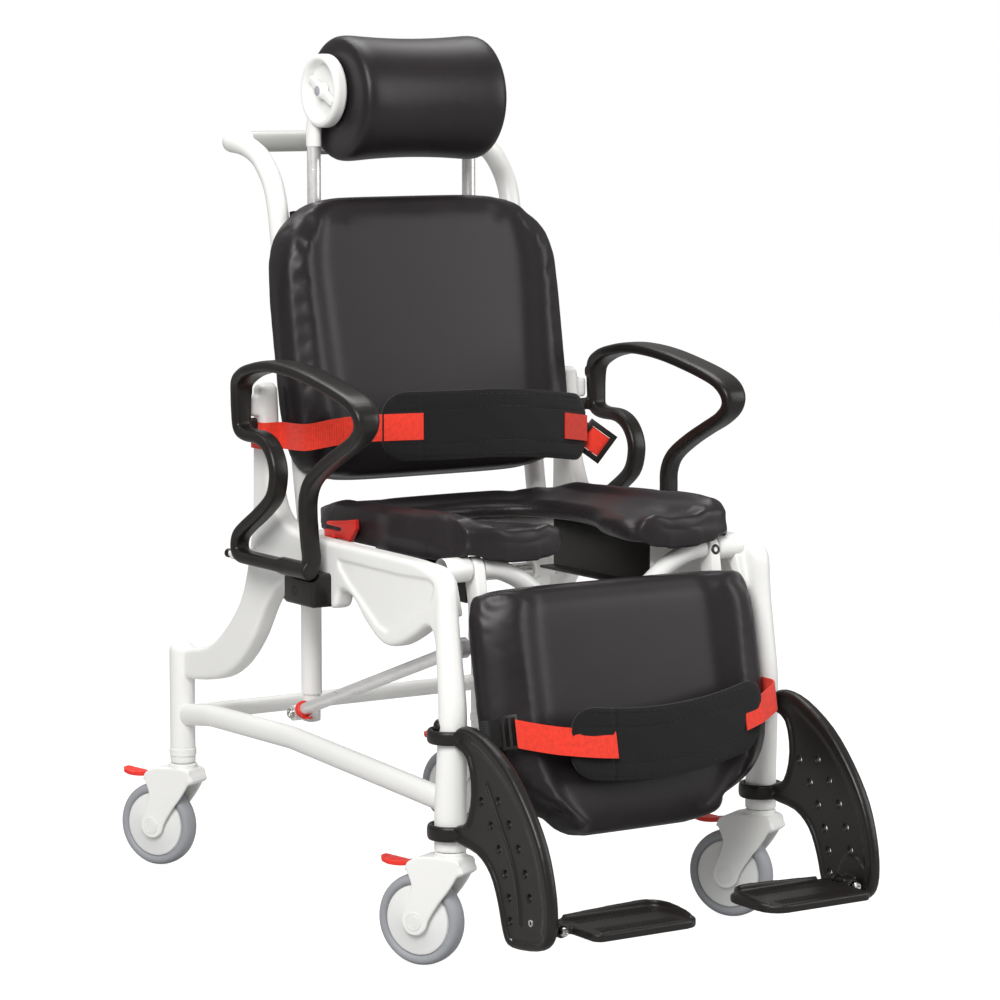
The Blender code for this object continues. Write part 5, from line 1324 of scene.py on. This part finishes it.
webbing(web, spline(through, 4), 0.032, 0.0016, lean=loop_axes @ Z)
piece("lap_web_tail", web, RED_WEB, "base", crease=CLOTH_CREASE)

# %% Calf strap
def strap_down(x):
    """How far below the axle the calf strap lies."""
    return 0.2575 - 0.042 * (x / (CALF_HALF + 0.006)) ** 2


def strap_point(x, lift=0.0):
    """A point on the calf strap's line, or lifted off it."""
    t = x / (CALF_HALF + 0.006)
    return on_calf(x, strap_down(x), 0.058 + 0.026 * (1 - t ** 2) + lift)


def strap_run(x0, x1, steps, lift=0.0):
    """The calf strap's line between two places across the chair."""
    return [strap_point(x0 + (x1 - x0) * i / steps, lift) for i in range(steps + 1)]


calf_long = quilt("calf_strap_quilt", strap_run(-0.131, 0.19, 140), -0.067, "calf_rest", "calf_strap_pad")
right_web = strap_run(-0.066, -0.122, 14, 0.005) + strap_run(-0.13, -0.138, 2, 0.003)
right_web += strap_run(-0.15, -0.2075, 10)
right_long = red_strap("calf_web_right", right_web, "calf_rest", "calf_strap_right", -HANG)
side_down = strap_down(0.188)
edge_x = CALF_HALF + 0.0024
down_side = [(0.212, 0.0085, 0.0635), (edge_x - 0.006, 0.0145, 0.0575), (edge_x, 0.019, 0.048),
             (edge_x, 0.0225, 0.034), (edge_x, 0.0255, 0.02)]
left_web = strap_run(0.158, 0.19, 8, 0.0052)
left_web += [on_calf(x, side_down - rise, out) for x, rise, out in down_side]
left_long = red_strap("calf_web_left", left_web, "calf_rest", "calf_strap_left", -HANG)
print(f"calf strap: pad {calf_long:.3f} m, red straps {right_long:.3f} and {left_long:.3f} m")

# %% Calf buckle
clip_at = strap_point(-0.2165, 0.0005)
stand = Matrix((Vector((0, -0.979, 0.204)), X, -HANG)).transposed().to_4x4()
clip = slot_ring(bmesh.new(), clip_at, 0.026, 0.046, 0.004, 2, stand)
piece("calf_triglide", clip, BLACK, "calf_rest", "calf_buckle")
down = strap_down(0.2165)
wrap = [strap_point(-0.224), on_calf(-edge_x + 0.002, down, 0.052), on_calf(-edge_x - 0.001, down, 0.044),
        on_calf(-edge_x, down, 0.032), on_calf(-edge_x, down, 0.018)]
web, _ = webbing(bmesh.new(), spline(wrap, 4), lean=-HANG)
piece("calf_web_wrap", web, BLACK_WEB, "calf_rest", crease=CLOTH_CREASE)

# %% Stitches on both belts
STITCH_ROWS = (-0.0425, -0.0245, 0.0245, 0.0425)
lap_row = offset_path(belt_run(-0.128, 0.18, 60), 0.004)
calf_row = strap_run(-0.104, 0.16, 60, 0.004)
for name, row, body in (("lap_belt_thread", lap_row, "base"), ("calf_strap_thread", calf_row, "calf_rest")):
    thread = bmesh.new()
    for rise in STITCH_ROWS:
        stitches(thread, [p + Z * rise for p in row])
    piece(name, thread, BLACK, body)
print("belts done")

# %% [markdown]
# ## Seat latches
#
# A red lever on each side locks the seat pad. It is a bevelled plate with a finger notch, on a
# short stud.

# %% Seat latches
latch_points = mm((27, -5.8), (27, 4), (-18.5, 5), (-20.5, 10), (20, 11), (20, 16), (-21, 20.4),
                  (-57.7, 26), (-59, 12.5), (-43, -7), (-25.5, -5.5))
LATCH_Y, LATCH_Z = 0.098 + Y_MID, 0.54
latch = plate(bmesh.new(), [(LATCH_Y + a, LATCH_Z + 0.006 + b) for a, b in latch_points], 0.2245, 0.2325,
              0.0012, 2)
rod(latch, (0.228, LATCH_Y, LATCH_Z), (0.2425, LATCH_Y, LATCH_Z), 0.004, 20)
pair("seat_latch_lever", cast(latch, 0.0009, 2), RED, "latch_{}", ["seat_latch_{}"])

# %% [markdown]
# ## Finish
#
# Whatever solid still shows gets one of the finishes above.

# %% Finish what still shows
left_over = [n for n, ob in nodes.items() if not ob.hide_render]
for n in left_over:
    nodes[n].data.materials.clear()
    nodes[n].data.materials.append(BLACK)
print("solids still shown:", left_over)
